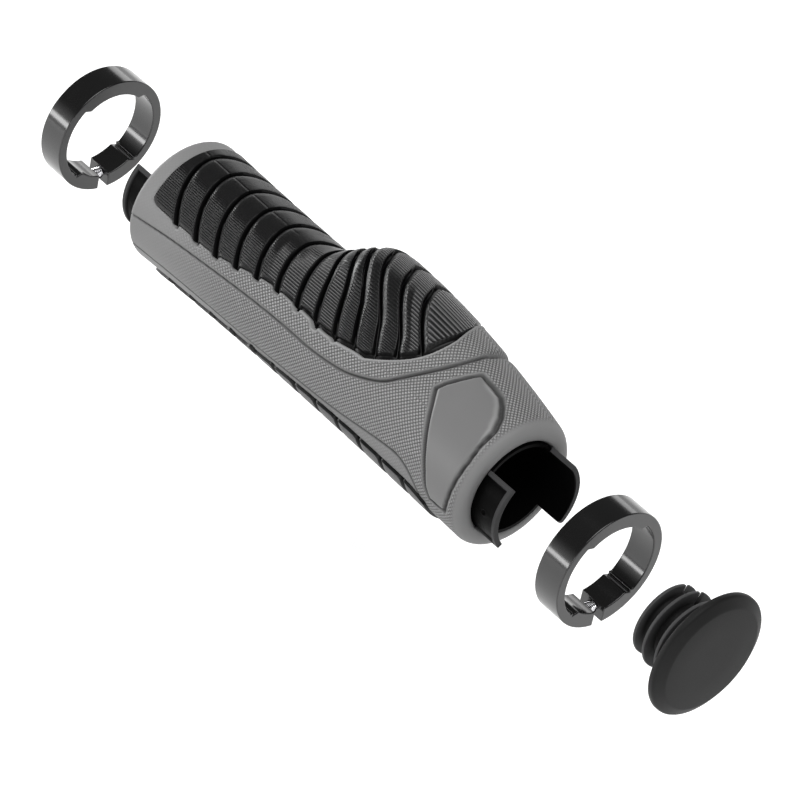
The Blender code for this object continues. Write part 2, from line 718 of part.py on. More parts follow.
def main():
    """Model the grip."""
    clear_scene()
    group = new_collection("handlebar_grip")
    cutters = new_collection("cutters")
    grey = make_material("grey_rubber", (0.20, 0.20, 0.20), 0.75)
    black = make_material("black_rubber", (0.025, 0.025, 0.026), 0.6)
    plastic = make_material("black_plastic", (0.015, 0.015, 0.016), 0.35)
    anodised = make_material("black_anodised", (0.03, 0.03, 0.032), 0.25, 0.9)
    steel = make_material("screw_steel", (0.62, 0.62, 0.64), 0.25, 1.0)
    make_body(group, cutters, grey)
    make_pad("palm_pad", palm_pad_layout(), group, black)
    make_pad("finger_pad", finger_pad_layout(), group, black)
    make_sleeve(group, cutters, plastic)
    for end, x in (("inner", RING_INNER_AT), ("outer", RING_OUTER_AT)):
        make_ring(f"{end}_clamp_ring", x, group, cutters, anodised)
        make_screw(f"{end}_clamp_screw", x, group, cutters, steel)
    make_plug(group, cutters, plastic)


main()
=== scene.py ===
"""A lock-on handlebar grip, drawn apart along the bar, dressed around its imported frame.

X runs along the bar to its outer end, Z is up and Y points to the rider. Places on the rubber body are
given by the distance u from its inner end face and the angle a from +Z, positive towards +Y.
"""
import json
import math

import bmesh
import bpy
import numpy as np
from mathutils import Matrix, Vector

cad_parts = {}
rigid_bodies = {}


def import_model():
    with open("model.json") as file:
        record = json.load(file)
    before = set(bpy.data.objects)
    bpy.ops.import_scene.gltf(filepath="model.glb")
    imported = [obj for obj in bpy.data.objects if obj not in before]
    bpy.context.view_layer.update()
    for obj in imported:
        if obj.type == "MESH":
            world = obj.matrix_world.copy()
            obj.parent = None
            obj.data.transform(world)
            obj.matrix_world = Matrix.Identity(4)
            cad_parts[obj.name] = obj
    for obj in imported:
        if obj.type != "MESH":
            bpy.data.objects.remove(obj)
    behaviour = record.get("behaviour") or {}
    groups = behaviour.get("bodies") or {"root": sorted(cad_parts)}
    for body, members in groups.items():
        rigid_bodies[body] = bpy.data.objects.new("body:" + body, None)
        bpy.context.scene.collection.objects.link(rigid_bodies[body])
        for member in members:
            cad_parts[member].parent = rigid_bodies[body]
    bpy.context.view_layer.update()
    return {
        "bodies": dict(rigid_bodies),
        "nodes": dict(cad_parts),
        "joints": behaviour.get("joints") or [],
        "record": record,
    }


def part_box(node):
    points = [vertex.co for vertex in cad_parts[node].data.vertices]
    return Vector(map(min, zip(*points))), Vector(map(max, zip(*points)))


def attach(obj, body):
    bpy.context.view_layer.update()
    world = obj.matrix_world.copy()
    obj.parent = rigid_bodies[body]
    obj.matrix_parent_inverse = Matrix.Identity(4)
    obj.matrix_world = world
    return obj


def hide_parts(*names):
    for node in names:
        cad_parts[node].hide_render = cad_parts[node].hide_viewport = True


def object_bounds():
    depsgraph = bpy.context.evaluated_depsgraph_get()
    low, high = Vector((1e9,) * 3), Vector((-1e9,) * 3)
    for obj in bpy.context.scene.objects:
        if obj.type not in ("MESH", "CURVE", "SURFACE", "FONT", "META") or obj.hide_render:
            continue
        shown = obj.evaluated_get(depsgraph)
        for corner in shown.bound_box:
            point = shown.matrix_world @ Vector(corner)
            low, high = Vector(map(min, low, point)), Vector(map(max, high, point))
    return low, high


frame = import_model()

MM = 0.001

# Fits and the sleeve
CLEARANCE = 0.3 * MM
BAR_RADIUS = 11.1 * MM
SEAT_GAP = 0.02 * MM
SLEEVE_BORE = BAR_RADIUS + 0.05 * MM
SLEEVE_RADIUS = SLEEVE_BORE + 0.85 * MM
TAB_RADIUS = SLEEVE_RADIUS + 0.5 * MM
TAB_HALF_ANGLE = 42.5
TAB_CORNERS = (0.25 * MM, 1.1 * MM)
TAB_BORDER = 1.2 * MM
TAB_BORDER_WALL = (TAB_BORDER - 0.15 * MM, TAB_BORDER + 0.1 * MM)
TAB_RIM_HIGHLIGHT = (TAB_BORDER - 0.1 * MM, TAB_BORDER + 0.15 * MM)
TAB_SINK = 0.5 * MM
TAB_ROLL = 0.14 * MM
TAB_ROLL_WIDTH = 0.22 * MM
TAB_UNDER_RIM_HIGHLIGHT = 0.12 * MM
TAB_LINE_DEPTH = 0.08 * MM
TAB_LINE_WIDTH = 0.1 * MM
TAB_LINE_AT = 0.55 * TAB_BORDER
TAB_DIMPLE_AT = 0.42
TAB_DIMPLE_WALL = (0.4 * MM, 0.6 * MM)
TAB_DIMPLE_DEPTH = 0.35 * MM
TAB_DIMPLE_LIP = 0.15 * MM
TAB_DIMPLE_LIP_WIDTH = 0.18 * MM
TAB_DIMPLE_LIP_AT = 0.85 * MM

# Points of a tab in mm: along it up to its dimple, and in from its edges
TAB_ALONG = (0.0, 1.0, 2.0, 2.6, 2.9, 3.1, 3.3, 3.5, 3.7, 3.9, 4.2, 5.2, 6.2)
TAB_TO_EDGE = (1.4, 1.25, 1.1, 1.0, 0.9, 0.75, 0.55, 0.35, 0.22, 0.12, 0.05, 0.0)
TAB_MIDDLE_SHARE = 0.83
TAB_MIDDLE_POINTS = 61

# Rubber body
BODY_LENGTH = 122.0 * MM
BODY_BORE = SLEEVE_RADIUS + CLEARANCE
END_RADIUS = 16.5 * MM
WAIST_RADIUS = 15.5 * MM
WAIST_AT = 52.0 * MM
INNER_ROUNDING = 1.2 * MM
OUTER_ROUNDING = 2.8 * MM
BORE_ROUNDING = 0.5 * MM
WING_RISE = 8.6 * MM
WING_STARTS = 46.0 * MM
WING_PEAKS = 61.0 * MM
WING_ANGLE = 50.0
WING_SPREAD = 55.0
WING_SQUARENESS = 3.6

# Rings, screws and plug
RING_WIDTH = 7.5 * MM
RING_POCKET = TAB_RADIUS + CLEARANCE
RING_RADIUS = RING_POCKET + 2.4 * MM
RING_KEY = BAR_RADIUS + CLEARANCE
RING_EDGE = 0.3 * MM
RING_SLIT = 2.7 * MM
KEY_HALF_ANGLE = 41.0
KEY_FLANK = 2.5
LUG_HALF_ANGLE = 40.0
LUG_NOTCH = 2.2
SCREW_RADIUS = 1.25 * MM
SCREW_LENGTH = 11.5 * MM
SCREW_PITCH = 0.5 * MM
SCREW_THREAD_DEPTH = 0.22 * MM
SCREW_END_CHAMFER = 0.3 * MM
SCREW_SOCKET_DEPTH = 2.4 * MM
SCREW_SOCKET = 0.7 * MM
SCREW_AT = (RING_KEY + RING_RADIUS) / 2.0
TAB_LENGTH = RING_WIDTH + CLEARANCE
PLUG_RADIUS = 15.7 * MM
PLUG_THICKNESS = 3.0 * MM
PLUG_BEVEL = 2.5 * MM
PLUG_RIM = 1.7 * MM
PLUG_STEM_LENGTH = 12.5 * MM
PLUG_FIN_RADIUS = 9.9 * MM
PLUG_FIN_THICKNESS = 0.9 * MM
PLUG_CORE_RADIUS = 6.6 * MM
PLUG_FINS = 3
PLUG_SLOT = 1.6 * MM
PLUG_SLOT_TURN = math.radians(62.0)
PLUG_SLOT_REACH = 1.1 * PLUG_FIN_RADIUS
PLUG_LAST_FIN_LESS = 0.8 * MM
PLUG_FIN_RIM_HIGHLIGHTS = (PLUG_CORE_RADIUS + 0.5 * MM, PLUG_FIN_RADIUS - 1.1 * MM)
AXIS_GAP = 0.02 * MM

# Pads. Grooves are narrow on the crown and widen down the flanks
PAD_STAND = 0.4 * MM
PAD_EDGE_ROLL = 0.25 * MM
PAD_EDGE_ROLL_WIDTH = 0.3 * MM
PAD_REACH = 130.0
PAD_UNDER_POINTS = 9
PAD_MASKS = ("rise", "lines", "hide", "seam", "border")
FINGER_PAD_RISE = 0.25 * MM
GROOVE_DEPTH = 1.4 * MM
GROOVE_HALF_WIDTHS = (0.08 * MM, 0.18 * MM)
GROOVE_WALL = 0.28 * MM
RIB_CHAMFER = 1.4 * MM
RIB_CHAMFER_SHARE = 0.3
RIB_CROWN = 0.4 * MM
RIB_CROWN_WIDTH = 2.0 * MM
RIB_CROWN_LEAN = 0.6 * MM
WING_CREST_RISE = 0.3 * MM
WING_CREST_WIDTH = 6.0
PAD_FRAME = 1.0 * MM
PAD_FRAME_RISE = 0.2
RIDGE_BORDER = (0.8 * MM, 1.15 * MM)
RIDGE_LAST_BORDER = (0.35 * MM, 0.6 * MM)
RIDGE_END_GAIN = 0.3 * MM
RIDGE_FRAME_SHARE = 0.7
# Painted highlight band along each rib's first chamfer, kept as the pad's border mask: where it lies, how
# wide, and the angles over which it fades in
CHAMFER_HIGHLIGHT_AT = 0.75 * MM
CHAMFER_HIGHLIGHT_WIDTH = 0.4 * MM
CHAMFER_HIGHLIGHT_TURNS = (-8.0, -36.0)
PAD_UNDERSIDE = 1.7 * MM
HOLLOW_DEPTH = PAD_UNDERSIDE + CLEARANCE
RIB_CORNER = 0.9 * MM
SPUR = 1.2 * MM
SPUR_WIDTHS = (0.3 * MM, 1.4 * MM)
SPURS_END = (50.0 * MM, 56.0 * MM)
RIDGE_PITCH = 0.56 * MM
SEAM_WIDTH = 0.45 * MM
WIDER_RIDGES = (1.0, 1.0, 1.0, 1.0, 1.05, 1.12, 1.2, 1.2, 1.2, 1.25, 1.3, 1.35, 1.45, 1.9)

# Points of a pad in mm: on from a rib's first groove, back from its last one, and in from the pad's edge
RIB_FIRST_SIDE = (0.0, 0.08, 0.18, 0.27, 0.36, 0.46, 0.6, 0.8, 1.05, 1.3, 1.6)
RIB_LAST_SIDE = (1.2, 0.9, 0.7, 0.46, 0.36, 0.27, 0.18, 0.08)
RIB_STEP = 0.8
PAD_EDGE_STEPS = (0.0, 0.1, 0.22, 0.36, 0.55, 0.8, 0.95, 1.1, 1.3, 1.6, 2.0)
PAD_END_ROOM = 9.0 * MM

# Palm pad
PALM_STARTS = 4.2 * MM
FIRST_GROOVE = 6.9 * MM
SLIM_GROOVES = 5
WING_GROOVES = (-2.2, 2.8, 5.2, 7.4, 9.7, 14.1, 21.2, 28.9)
SWEEP_TURN = 60.0
SLIM_SWEEP = 6.5 * MM
WING_SWEEP = 14.1 * MM
WING_STEP = 4.5 * MM
WING_STEP_ANGLE = -1.0
WING_STEP_HALF = 16.0
FAR_SWEEP = 5.5 * MM
WING_CROWN = 30.0
CROWN_TURNS = 13.0 * MM
WING_CREST = 16.0
PALM_EDGE = (-64.0, -50.0)
PALM_EDGE_TURNS = (24.0 * MM, 50.0 * MM)
PALM_EDGE_DIP = (66.0 * MM, 5.0 * MM, 2.2)
PALM_EDGE_LIFT = (70.0 * MM, 79.0 * MM, 3.5)
PALM_FAR_EDGE = 92.0
PALM_CORNER = 4.0 * MM
PALM_CORNER_TURN = 11.0
PALM_NOSE = 92.6 * MM
PALM_NOSE_ANGLE = 8.0
PALM_NOSE_FALLS = (9.1 * MM, 6.9 * MM)
PALM_NOSE_TURN = 45.0

# Finish of the palm pad: spans of u or of the angle over which it changes
PALM_FLANK = (6.0, 42.0)
PALM_FRAME_GROWS = (50.0 * MM, 62.0 * MM)
SLIM_RIDGE_TURNS = (14.0, 36.0)
SLIM_RIDGES_GROW = (24.0 * MM, 44.0 * MM)
SLIM_RIDGES_LEAST = 0.7
FAN_STARTS = (34.0 * MM, 43.0 * MM)
FAN_RIDGE_TURNS = (-8.0, 6.0)
FAN_RIDGES_MOVE = (44.0 * MM, 50.0 * MM)
FAN_RIDGES_FADE = 14.0
WING_RIDGES_START = (53.0 * MM, 58.0 * MM)
WING_RIDGE_TURNS = (WING_CREST - 14.0, WING_CREST + 2.0)
WING_RIDGES_LEAST = 0.35
TRIANGLE_STARTS = (72.0 * MM, 74.0 * MM)
TRIANGLE_TURNS = (-40.0, -30.0)
SEAM_ENDS = (35.0 * MM, 38.0 * MM)
CROWN_ROUNDING_TURNS = (8.0, 36.0)
CROWN_ROUNDING_LEAST = 0.2

# Finger pad
FINGER_STARTS = 5.0 * MM
FINGER_ENDS = 110.0 * MM
FINGER_RIBS = 13
FINGER_EDGE = (226.0, 250.0)
FINGER_EDGE_TURNS = (10.0 * MM, 85.0 * MM)
FINGER_FAR_EDGE = 128.0
FINGER_CORNER = 8.0 * MM
FINGER_CORNER_TURN = 9.0
FINGER_CROWN = 184.0
FINGER_FLANK = (10.0, 40.0)
FINGER_GROOVE_LEAST = 0.4
FINGER_RIDGES = 0.15
FINGER_ROUNDING = 0.5

# Lines pressed into the rubber body, as (u in mm, angle)
UPPER_LINE = ((-1.0, -85.4), (0.2, -84.8), (13.2, -79.4), (25.9, -75.9), (43.5, -71.8), (56.2, -70.0),
              (66.0, -69.8), (74.8, -66.5), (80.1, -61.5), (86.7, -51.0), (90.2, -38.5), (93.8, -22.0),
              (97.0, -6.6), (98.9, 6.0), (99.3, 20.0), (97.0, 55.0), (90.0, 95.0), (75.0, 114.0),
              (45.0, 117.0), (0.0, 119.0), (-1.0, 119.0))
LOWER_LINE = ((-1.0, -116.3), (1.2, -116.2), (11.9, -115.4), (29.0, -115.0), (44.0, -114.5),
              (60.8, -109.6), (76.6, -103.8), (91.8, -94.6), (99.2, -92.0), (103.2, -96.0),
              (106.2, -105.1), (108.5, -121.0))
PANEL = ((98.9, -26.0), (99.8, -18.0), (103.8, 4.6), (111.0, 2.8), (113.2, -1.9), (115.7, -10.3),
         (117.7, -22.5), (118.6, -52.9), (118.2, -71.1), (117.8, -88.1), (117.2, -104.4), (112.1, -105.4),
         (110.4, -96.8), (109.0, -83.4), (106.9, -69.4), (104.6, -55.9), (101.4, -38.4))
PARTING_STEP = ((118.9, 18.0), (119.6, 15.4), (120.6, 9.0), (121.4, 2.7), (122.4, -5.0))

# Depths of the lines, and the walls of their channels across them
TOWARD_WING = (40.0 * MM, 62.0 * MM)
LINE_DEPTH = 0.4 * MM
LINE_HALF_WIDTHS = (0.2 * MM, 0.3 * MM)
LINE_OUTER_WALL = 0.2 * MM
UPPER_LINE_INNER = (-0.02 * MM, 0.2 * MM)
LOWER_LINE_OUTER = (-0.35 * MM, -0.12 * MM)
LOWER_LINE_INNER = (0.05 * MM, 0.25 * MM)
BAND_RISES = (0.12 * MM, 0.28 * MM)
BAND_EDGE = 0.25 * MM
LIP_RISE = 0.14 * MM
LIP_AT = 0.25 * MM
LIP_WIDTH = 0.22 * MM
NOTCH_DEPTH = 1.2 * MM
NOTCH_WIDTH = 0.9 * MM
NOTCH_SPAN = (90.0 * MM, 96.0 * MM)
NOTCH_TURNS = (14.0, 26.0)
PARTING_DEPTH = 0.16 * MM
PARTING_WIDTH = 0.28 * MM
PAD_WALL = 0.5 * MM

# The panel's groove and bevel, which widen at its upper right
PANEL_DEPTH = 0.7 * MM
PANEL_RISE = 0.25 * MM
PANEL_RISE_GAIN = 0.6
PANEL_BEVELS = (0.35 * MM, 1.15 * MM)
PANEL_BEVEL_STARTS = 0.35 * MM
PANEL_GROOVE_OUTER = (-0.6 * MM, -0.38 * MM)
PANEL_GROOVE_INNER = (0.2 * MM, 0.42 * MM)
PANEL_GROOVE_WIDENS = 0.3 * MM
UPPER_RIGHT_SPAN = (104.0 * MM, 108.0 * MM)
UPPER_RIGHT_TURNS = (-42.0, -18.0)

# Knurl: how far it stays from the lines, the panel, the palm pad and the body's ends
KNURL_PITCH = 0.76 * MM
TURNING_PITCH = 0.12 * MM
KNURL_FROM_LINES = (0.4 * MM, 0.75 * MM)
KNURL_FROM_PANEL = (0.9 * MM, 1.3 * MM)
KNURL_FROM_PALM = (0.1 * MM, 0.35 * MM)
KNURL_NEARS_PALM = (50.0 * MM, 62.0 * MM)
KNURL_GROWS = (8.0 * MM, 48.0 * MM)
KNURL_ENDS = (118.8 * MM, 120.6 * MM)
KNURL_LEAST = 0.06
KNURL_BELOW = 0.3

# Body mesh, finest where the lines, the panel and the pads' edges show: (from, to, step)
BODY_TURNS = ((-180.0, -140.0, 2.5), (-140.0, -42.0, 0.8), (-42.0, 34.0, 1.3), (34.0, 180.0, 2.6))
BODY_SPANS = ((1.2, 46.0, 0.4), (46.0, 74.0, 0.5), (74.0, 119.2, 0.27))

# Camera and light
CAMERA_PLACE = (0.5200, -0.6040, 0.6040)
CAMERA_AIM = (-0.0489, 0.0014, -0.0043)
CAMERA_ROLL = 12.1
CAMERA_LENS = 203.7
CAMERA_SENSOR = 36.0
FLOOR_DROP = 0.045
FLOOR_HALF_SIZE = 6.0
FLOOR_GLOW = 0.55
ROOM_LIGHT = 0.36
ROOM_OVERHEAD = 0.1
LAMP_AIM = (-0.06, 0.0, 0.0)
LAMPS = (("key", (0.1, -0.2, 1.2), (1.0, 1.0), 11.8), ("left", (-0.72, -0.80, 0.10), (0.9, 0.12), 2.6),
         ("end", (-1.3, -0.2, 0.2), (0.5, 0.35), 9.0), ("right", (0.95, -0.66, 0.12), (0.15, 0.3), 1.6),
         ("back", (-0.95, 0.9, 0.35), (0.8, 0.3), 1.2))


def middle_of(node):
    """Middle of a node's box at rest."""
    low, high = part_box(node)
    return (Vector(low) + Vector(high)) / 2.0


BODY_OUTER_FACE = -TAB_LENGTH
BODY_INNER_FACE = BODY_OUTER_FACE - BODY_LENGTH


def ease(start, end, value):
    """0 before start, 1 after end, and a smooth step between them."""
    share = np.clip((np.asarray(value) - start) / (end - start), 0.0, 1.0)
    return share * share * (3.0 - 2.0 * share)


def blend(low, high, share):
    """The value a share of the way from low to high."""
    return low + (high - low) * share


def swell(value, width, at=0.0):
    """A soft rise to 1 round a place."""
    return np.exp(-((value - at) / width) ** 2)


def turn_between(angle, other):
    """Signed turn from one angle to another, under half a turn."""
    return (np.asarray(angle) - other + 180.0) % 360.0 - 180.0


def skin_radius(u, angle):
    """Radius of the rubber body's outside: a waisted round bar grip with a wing for the palm."""
    u = np.asarray(u, dtype=float)
    toward_end = np.where(u > WAIST_AT, (u - WAIST_AT) / (BODY_LENGTH - WAIST_AT),
                          (WAIST_AT - u) / WAIST_AT)
    radius = blend(WAIST_RADIUS, END_RADIUS, toward_end ** 2)
    past_peak = np.clip((u - WING_PEAKS) / (BODY_LENGTH - WING_PEAKS), 0.0, 1.0)
    rise = WING_RISE * ease(WING_STARTS, WING_PEAKS, u) * (1.0 - past_peak ** 1.8)
    turn = turn_between(angle, WING_ANGLE)
    return radius + rise * np.exp(-np.abs(turn / WING_SPREAD) ** WING_SQUARENESS)


def place(u, angle, radius):
    """World places of points at u along the body, at an angle and a radius."""
    a = np.radians(angle)
    u, a, radius = np.broadcast_arrays(BODY_INNER_FACE + u, a, radius)
    return np.stack((u, radius * np.sin(a), radius * np.cos(a)), axis=-1)


def smooth_path(points, per_span=6, closed=False):
    """A smooth line through (u in mm, angle) points, in metres and degrees."""
    count = len(points)
    path = []
    for i in range(count if closed else count - 1):
        near = [points[(i + k) % count] if closed else points[min(max(i + k, 0), count - 1)]
                for k in (-1, 0, 1, 2)]
        p, q, r, s = (np.array(point) for point in near)
        for t in np.linspace(0.0, 1.0, per_span, endpoint=False):
            path.append(0.5 * (2.0 * q + (r - p) * t + (2.0 * p - 5.0 * q + 4.0 * r - s) * t ** 2
                               + (3.0 * q - p - 3.0 * r + s) * t ** 3))
    if not closed:
        path.append(np.array(points[-1]))
    return [(u * MM, a) for u, a in path]


def distance_to(u, angle, path, closed=False):
    """Distance over the skin from points to a line through (u, angle) corners."""
    radius = skin_radius(u, angle)
    best = np.full(np.shape(u), 1.0)
    for (u0, a0), (u1, a1) in zip(path, path[1:] + (path[:1] if closed else [])):
        du, da = u1 - u0, math.radians(a1 - a0) * radius
        pu, pa = u - u0, np.radians(turn_between(angle, a0)) * radius
        share = np.clip((pu * du + pa * da) / (du * du + da * da + 1e-12), 0.0, 1.0)
        best = np.minimum(best, np.hypot(pu - share * du, pa - share * da))
    return best


def inside(u, angle, outline):
    """True for points within a closed outline of (u, angle) corners."""
    within = np.zeros(np.shape(u), dtype=bool)
    for (u0, a0), (u1, a1) in zip(outline, outline[1:] + outline[:1]):
        crosses = (a0 > angle) != (a1 > angle)
        reach = (u1 - u0) * (angle - a0) / (a1 - a0 + 1e-12) + u0
        within ^= crosses & (u < reach)
    return within


def grid_mesh(name, points, wrap_rows=False, wrap_columns=False, uv=None, masks=None):
    """An object from a grid of points, joined round where it wraps."""
    rows, columns = points.shape[:2]
    index = np.arange(rows * columns).reshape(rows, columns)
    if wrap_rows:
        index = np.vstack((index, index[:1]))
    if wrap_columns:
        index = np.hstack((index, index[:, :1]))
    quads = np.stack((index[:-1, :-1], index[1:, :-1], index[1:, 1:], index[:-1, 1:]), axis=-1)
    quads = quads.reshape(-1, 4)
    mesh = bpy.data.meshes.new(name)
    mesh.vertices.add(rows * columns)
    mesh.vertices.foreach_set("co", points.reshape(-1).astype(np.float32))
    mesh.loops.add(quads.size)
    mesh.loops.foreach_set("vertex_index", quads.reshape(-1).astype(np.int32))
    mesh.polygons.add(len(quads))
    mesh.polygons.foreach_set("loop_start", np.arange(0, quads.size, 4, dtype=np.int32))
    mesh.update(calc_edges=True)
    if uv is not None:
        layer = mesh.uv_layers.new(name="skin")
        spread = uv.reshape(rows, columns, 2)
        if wrap_rows:
            spread = np.concatenate((spread, spread[:1]), axis=0)
        if wrap_columns:
            seam = spread[:, :1].copy()
            seam[..., 1] = spread[:, -1:, 1] + (spread[:, -1:, 1] - spread[:, -2:-1, 1])
            spread = np.concatenate((spread, seam), axis=1)
        corners = np.stack((spread[:-1, :-1], spread[1:, :-1], spread[1:, 1:], spread[:-1, 1:]), axis=2)
        layer.data.foreach_set("uv", (corners / MM).reshape(-1).astype(np.float32))
    for mask_name, values in (masks or {}).items():
        attribute = mesh.attributes.new(mask_name, "FLOAT", "POINT")
        attribute.data.foreach_set("value", values.reshape(-1).astype(np.float32))
    item = bpy.data.objects.new(name, mesh)
    bpy.context.scene.collection.objects.link(item)
    face_out(mesh)
    return item


def face_out(mesh):
    """Turn a closed mesh's faces outwards."""
    bm = bmesh.new()
    bm.from_mesh(mesh)
    if bm.calc_volume(signed=True) < 0.0:
        bmesh.ops.reverse_faces(bm, faces=bm.faces)
    bm.to_mesh(mesh)
    bm.free()


def finish_mesh(bm, mesh):
    """Write a closed bmesh into a mesh with its faces turned outwards."""
    bmesh.ops.recalc_face_normals(bm, faces=bm.faces)
    if bm.calc_volume(signed=True) < 0.0:
        bmesh.ops.reverse_faces(bm, faces=bm.faces)
    bm.to_mesh(mesh)
    bm.free()


def mesh_object(name, build):
    """An object whose mesh is written by build, with its faces turned outwards."""
    mesh = bpy.data.meshes.new(name)
    bm = bmesh.new()
    build(bm)
    finish_mesh(bm, mesh)
    item = bpy.data.objects.new(name, mesh)
    bpy.context.scene.collection.objects.link(item)
    return item


def loft(bm, sections):
    """A closed solid through sections that each have as many points."""
    rows = [[bm.verts.new(point) for point in section] for section in sections]
    for first, second in zip(rows, rows[1:]):
        for i in range(len(first)):
            j = (i + 1) % len(first)
            bm.faces.new((first[i], first[j], second[j], second[i]))
    bm.faces.new(rows[0])
    bm.faces.new(list(reversed(rows[-1])))


def shade(item, angle=35.0):
    """Smooth faces that meet at a shallow angle."""
    item.data.shade_smooth()
    item.data.set_sharp_from_angle(angle=math.radians(angle))


def apply_modifiers(item):
    """Write an object's modifiers into its mesh."""
    bpy.context.view_layer.update()
    depsgraph = bpy.context.evaluated_depsgraph_get()
    solid = bpy.data.meshes.new_from_object(item.evaluated_get(depsgraph))
    item.modifiers.clear()
    item.data = solid


def cut(target, tools):
    """Cut tools out of a target and remove them."""
    for tool in tools:
        modifier = target.modifiers.new(tool.name, "BOOLEAN")
        modifier.object = tool
        modifier.solver = "EXACT"
    apply_modifiers(target)
    for tool in tools:
        bpy.data.objects.remove(tool, do_unlink=True)


def round_edges(item, width, segments, angle):
    """Roll over an object's sharp edges."""
    bevel = item.modifiers.new("Edges", "BEVEL")
    bevel.width = width
    bevel.segments = segments
    bevel.limit_method = "ANGLE"
    bevel.angle_limit = math.radians(angle)
    bevel.harden_normals = False
    apply_modifiers(item)


def turned(name, profile, sides=144):
    """A solid turned about X from an outline of (x, radius) points."""
    angles = np.linspace(0.0, 2.0 * math.pi, sides, endpoint=False)
    x, radius = (np.array(values) for values in zip(*profile))
    points = np.stack((np.repeat(x[:, None], sides, axis=1), radius[:, None] * np.sin(angles),
                       radius[:, None] * np.cos(angles)), axis=-1)
    return grid_mesh(name, points, wrap_rows=True, wrap_columns=True)


def rod(name, centre, direction, radius, length, sides=32):
    """A round rod, as a tool for cutting."""
    turn = Vector((0.0, 0.0, 1.0)).rotation_difference(Vector(direction)).to_matrix().to_4x4()

    def build(bm):
        bmesh.ops.create_cone(bm, cap_ends=True, segments=sides, radius1=radius, radius2=radius,
                              depth=length, matrix=Matrix.Translation(centre) @ turn)

    return mesh_object(name, build)


def groove_apexes():
    """Places where the palm pad's grooves cross its crown, from the inner end outwards."""
    over_wing = [WING_STARTS + offset * MM for offset in WING_GROOVES]
    pitch = (over_wing[0] - FIRST_GROOVE) / SLIM_GROOVES
    return [FIRST_GROOVE + pitch * i for i in range(SLIM_GROOVES)] + over_wing


def wing_share(apex):
    """How far the palm pad has turned from its slim part to the wing, from 0 to 1."""
    return float(ease(WING_STARTS, WING_STARTS + CROWN_TURNS, apex))


def crown_angle(apex):
    """Angle of the palm pad's crown: on top along the slim part, on the wing's shoulder further out."""
    return WING_CROWN * wing_share(apex)


def palm_line(apex, angle):
    """Place along the body of a line across the palm pad that crosses the crown at apex."""
    angle = np.asarray(angle, dtype=float)
    slim = SLIM_SWEEP * (np.maximum(-angle, 0.0) / SWEEP_TURN) ** 1.7
    over_wing = WING_SWEEP * np.maximum(WING_CROWN - angle, 0.0) / SWEEP_TURN
    over_wing = over_wing + WING_STEP * ease(-WING_STEP_HALF, WING_STEP_HALF, WING_STEP_ANGLE - angle)
    far = FAR_SWEEP * (np.maximum(angle - crown_angle(apex), 0.0) / SWEEP_TURN) ** 1.5
    sweep = blend(slim, over_wing, wing_share(apex)) + far
    return apex + sweep * min((apex - PALM_STARTS) / (FIRST_GROOVE - PALM_STARTS), 1.0)


def palm_nose(angle):
    """Place along the body of the palm pad's rounded outer end."""
    turn = (angle - PALM_NOSE_ANGLE) / PALM_NOSE_TURN
    near, far = PALM_NOSE_FALLS
    return PALM_NOSE - (near * turn ** 2 if turn < 0.0 else far * turn ** 1.25)


def palm_inside(u, angle):
    """True where a place is still on the palm pad."""
    to_start = 1.0 - min(max(u - PALM_STARTS, 0.0) / PALM_CORNER, 1.0)
    corner = PALM_CORNER_TURN * (1.0 - math.sqrt(1.0 - to_start ** 2))
    near = blend(*PALM_EDGE, float(ease(*PALM_EDGE_TURNS, u)))
    dip_at, dip_length, dip = PALM_EDGE_DIP
    near -= dip * math.exp(-((u - dip_at) / dip_length) ** 2)
    lift_starts, lift_ends, raised = PALM_EDGE_LIFT
    near += raised * float(ease(lift_starts, lift_ends, u))
    return near + corner < angle < PALM_FAR_EDGE and u < palm_nose(angle)


def finger_line(apex, angle):
    """Place along the body of a line across the finger pad."""
    return apex + 0.0 * np.asarray(angle, dtype=float)


def finger_inside(u, angle):
    """True where a place is still on the finger pad."""
    ends = min(u - FINGER_STARTS, FINGER_ENDS - u)
    corner = FINGER_CORNER_TURN * (1.0 - min(max(ends, 0.0) / FINGER_CORNER, 1.0)) ** 2
    near = blend(*FINGER_EDGE, float(ease(*FINGER_EDGE_TURNS, u)))
    return FINGER_FAR_EDGE + corner < angle < near - corner


def column_end(within, column, middle, step):
    """Angle at which a column of points leaves its pad, on the side that step points to."""
    held, lost = middle, middle + step
    for _ in range(20):
        tried = (held + lost) / 2.0
        if within(float(column(tried)[0]), tried):
            held = tried
        else:
            lost = tried
    return held


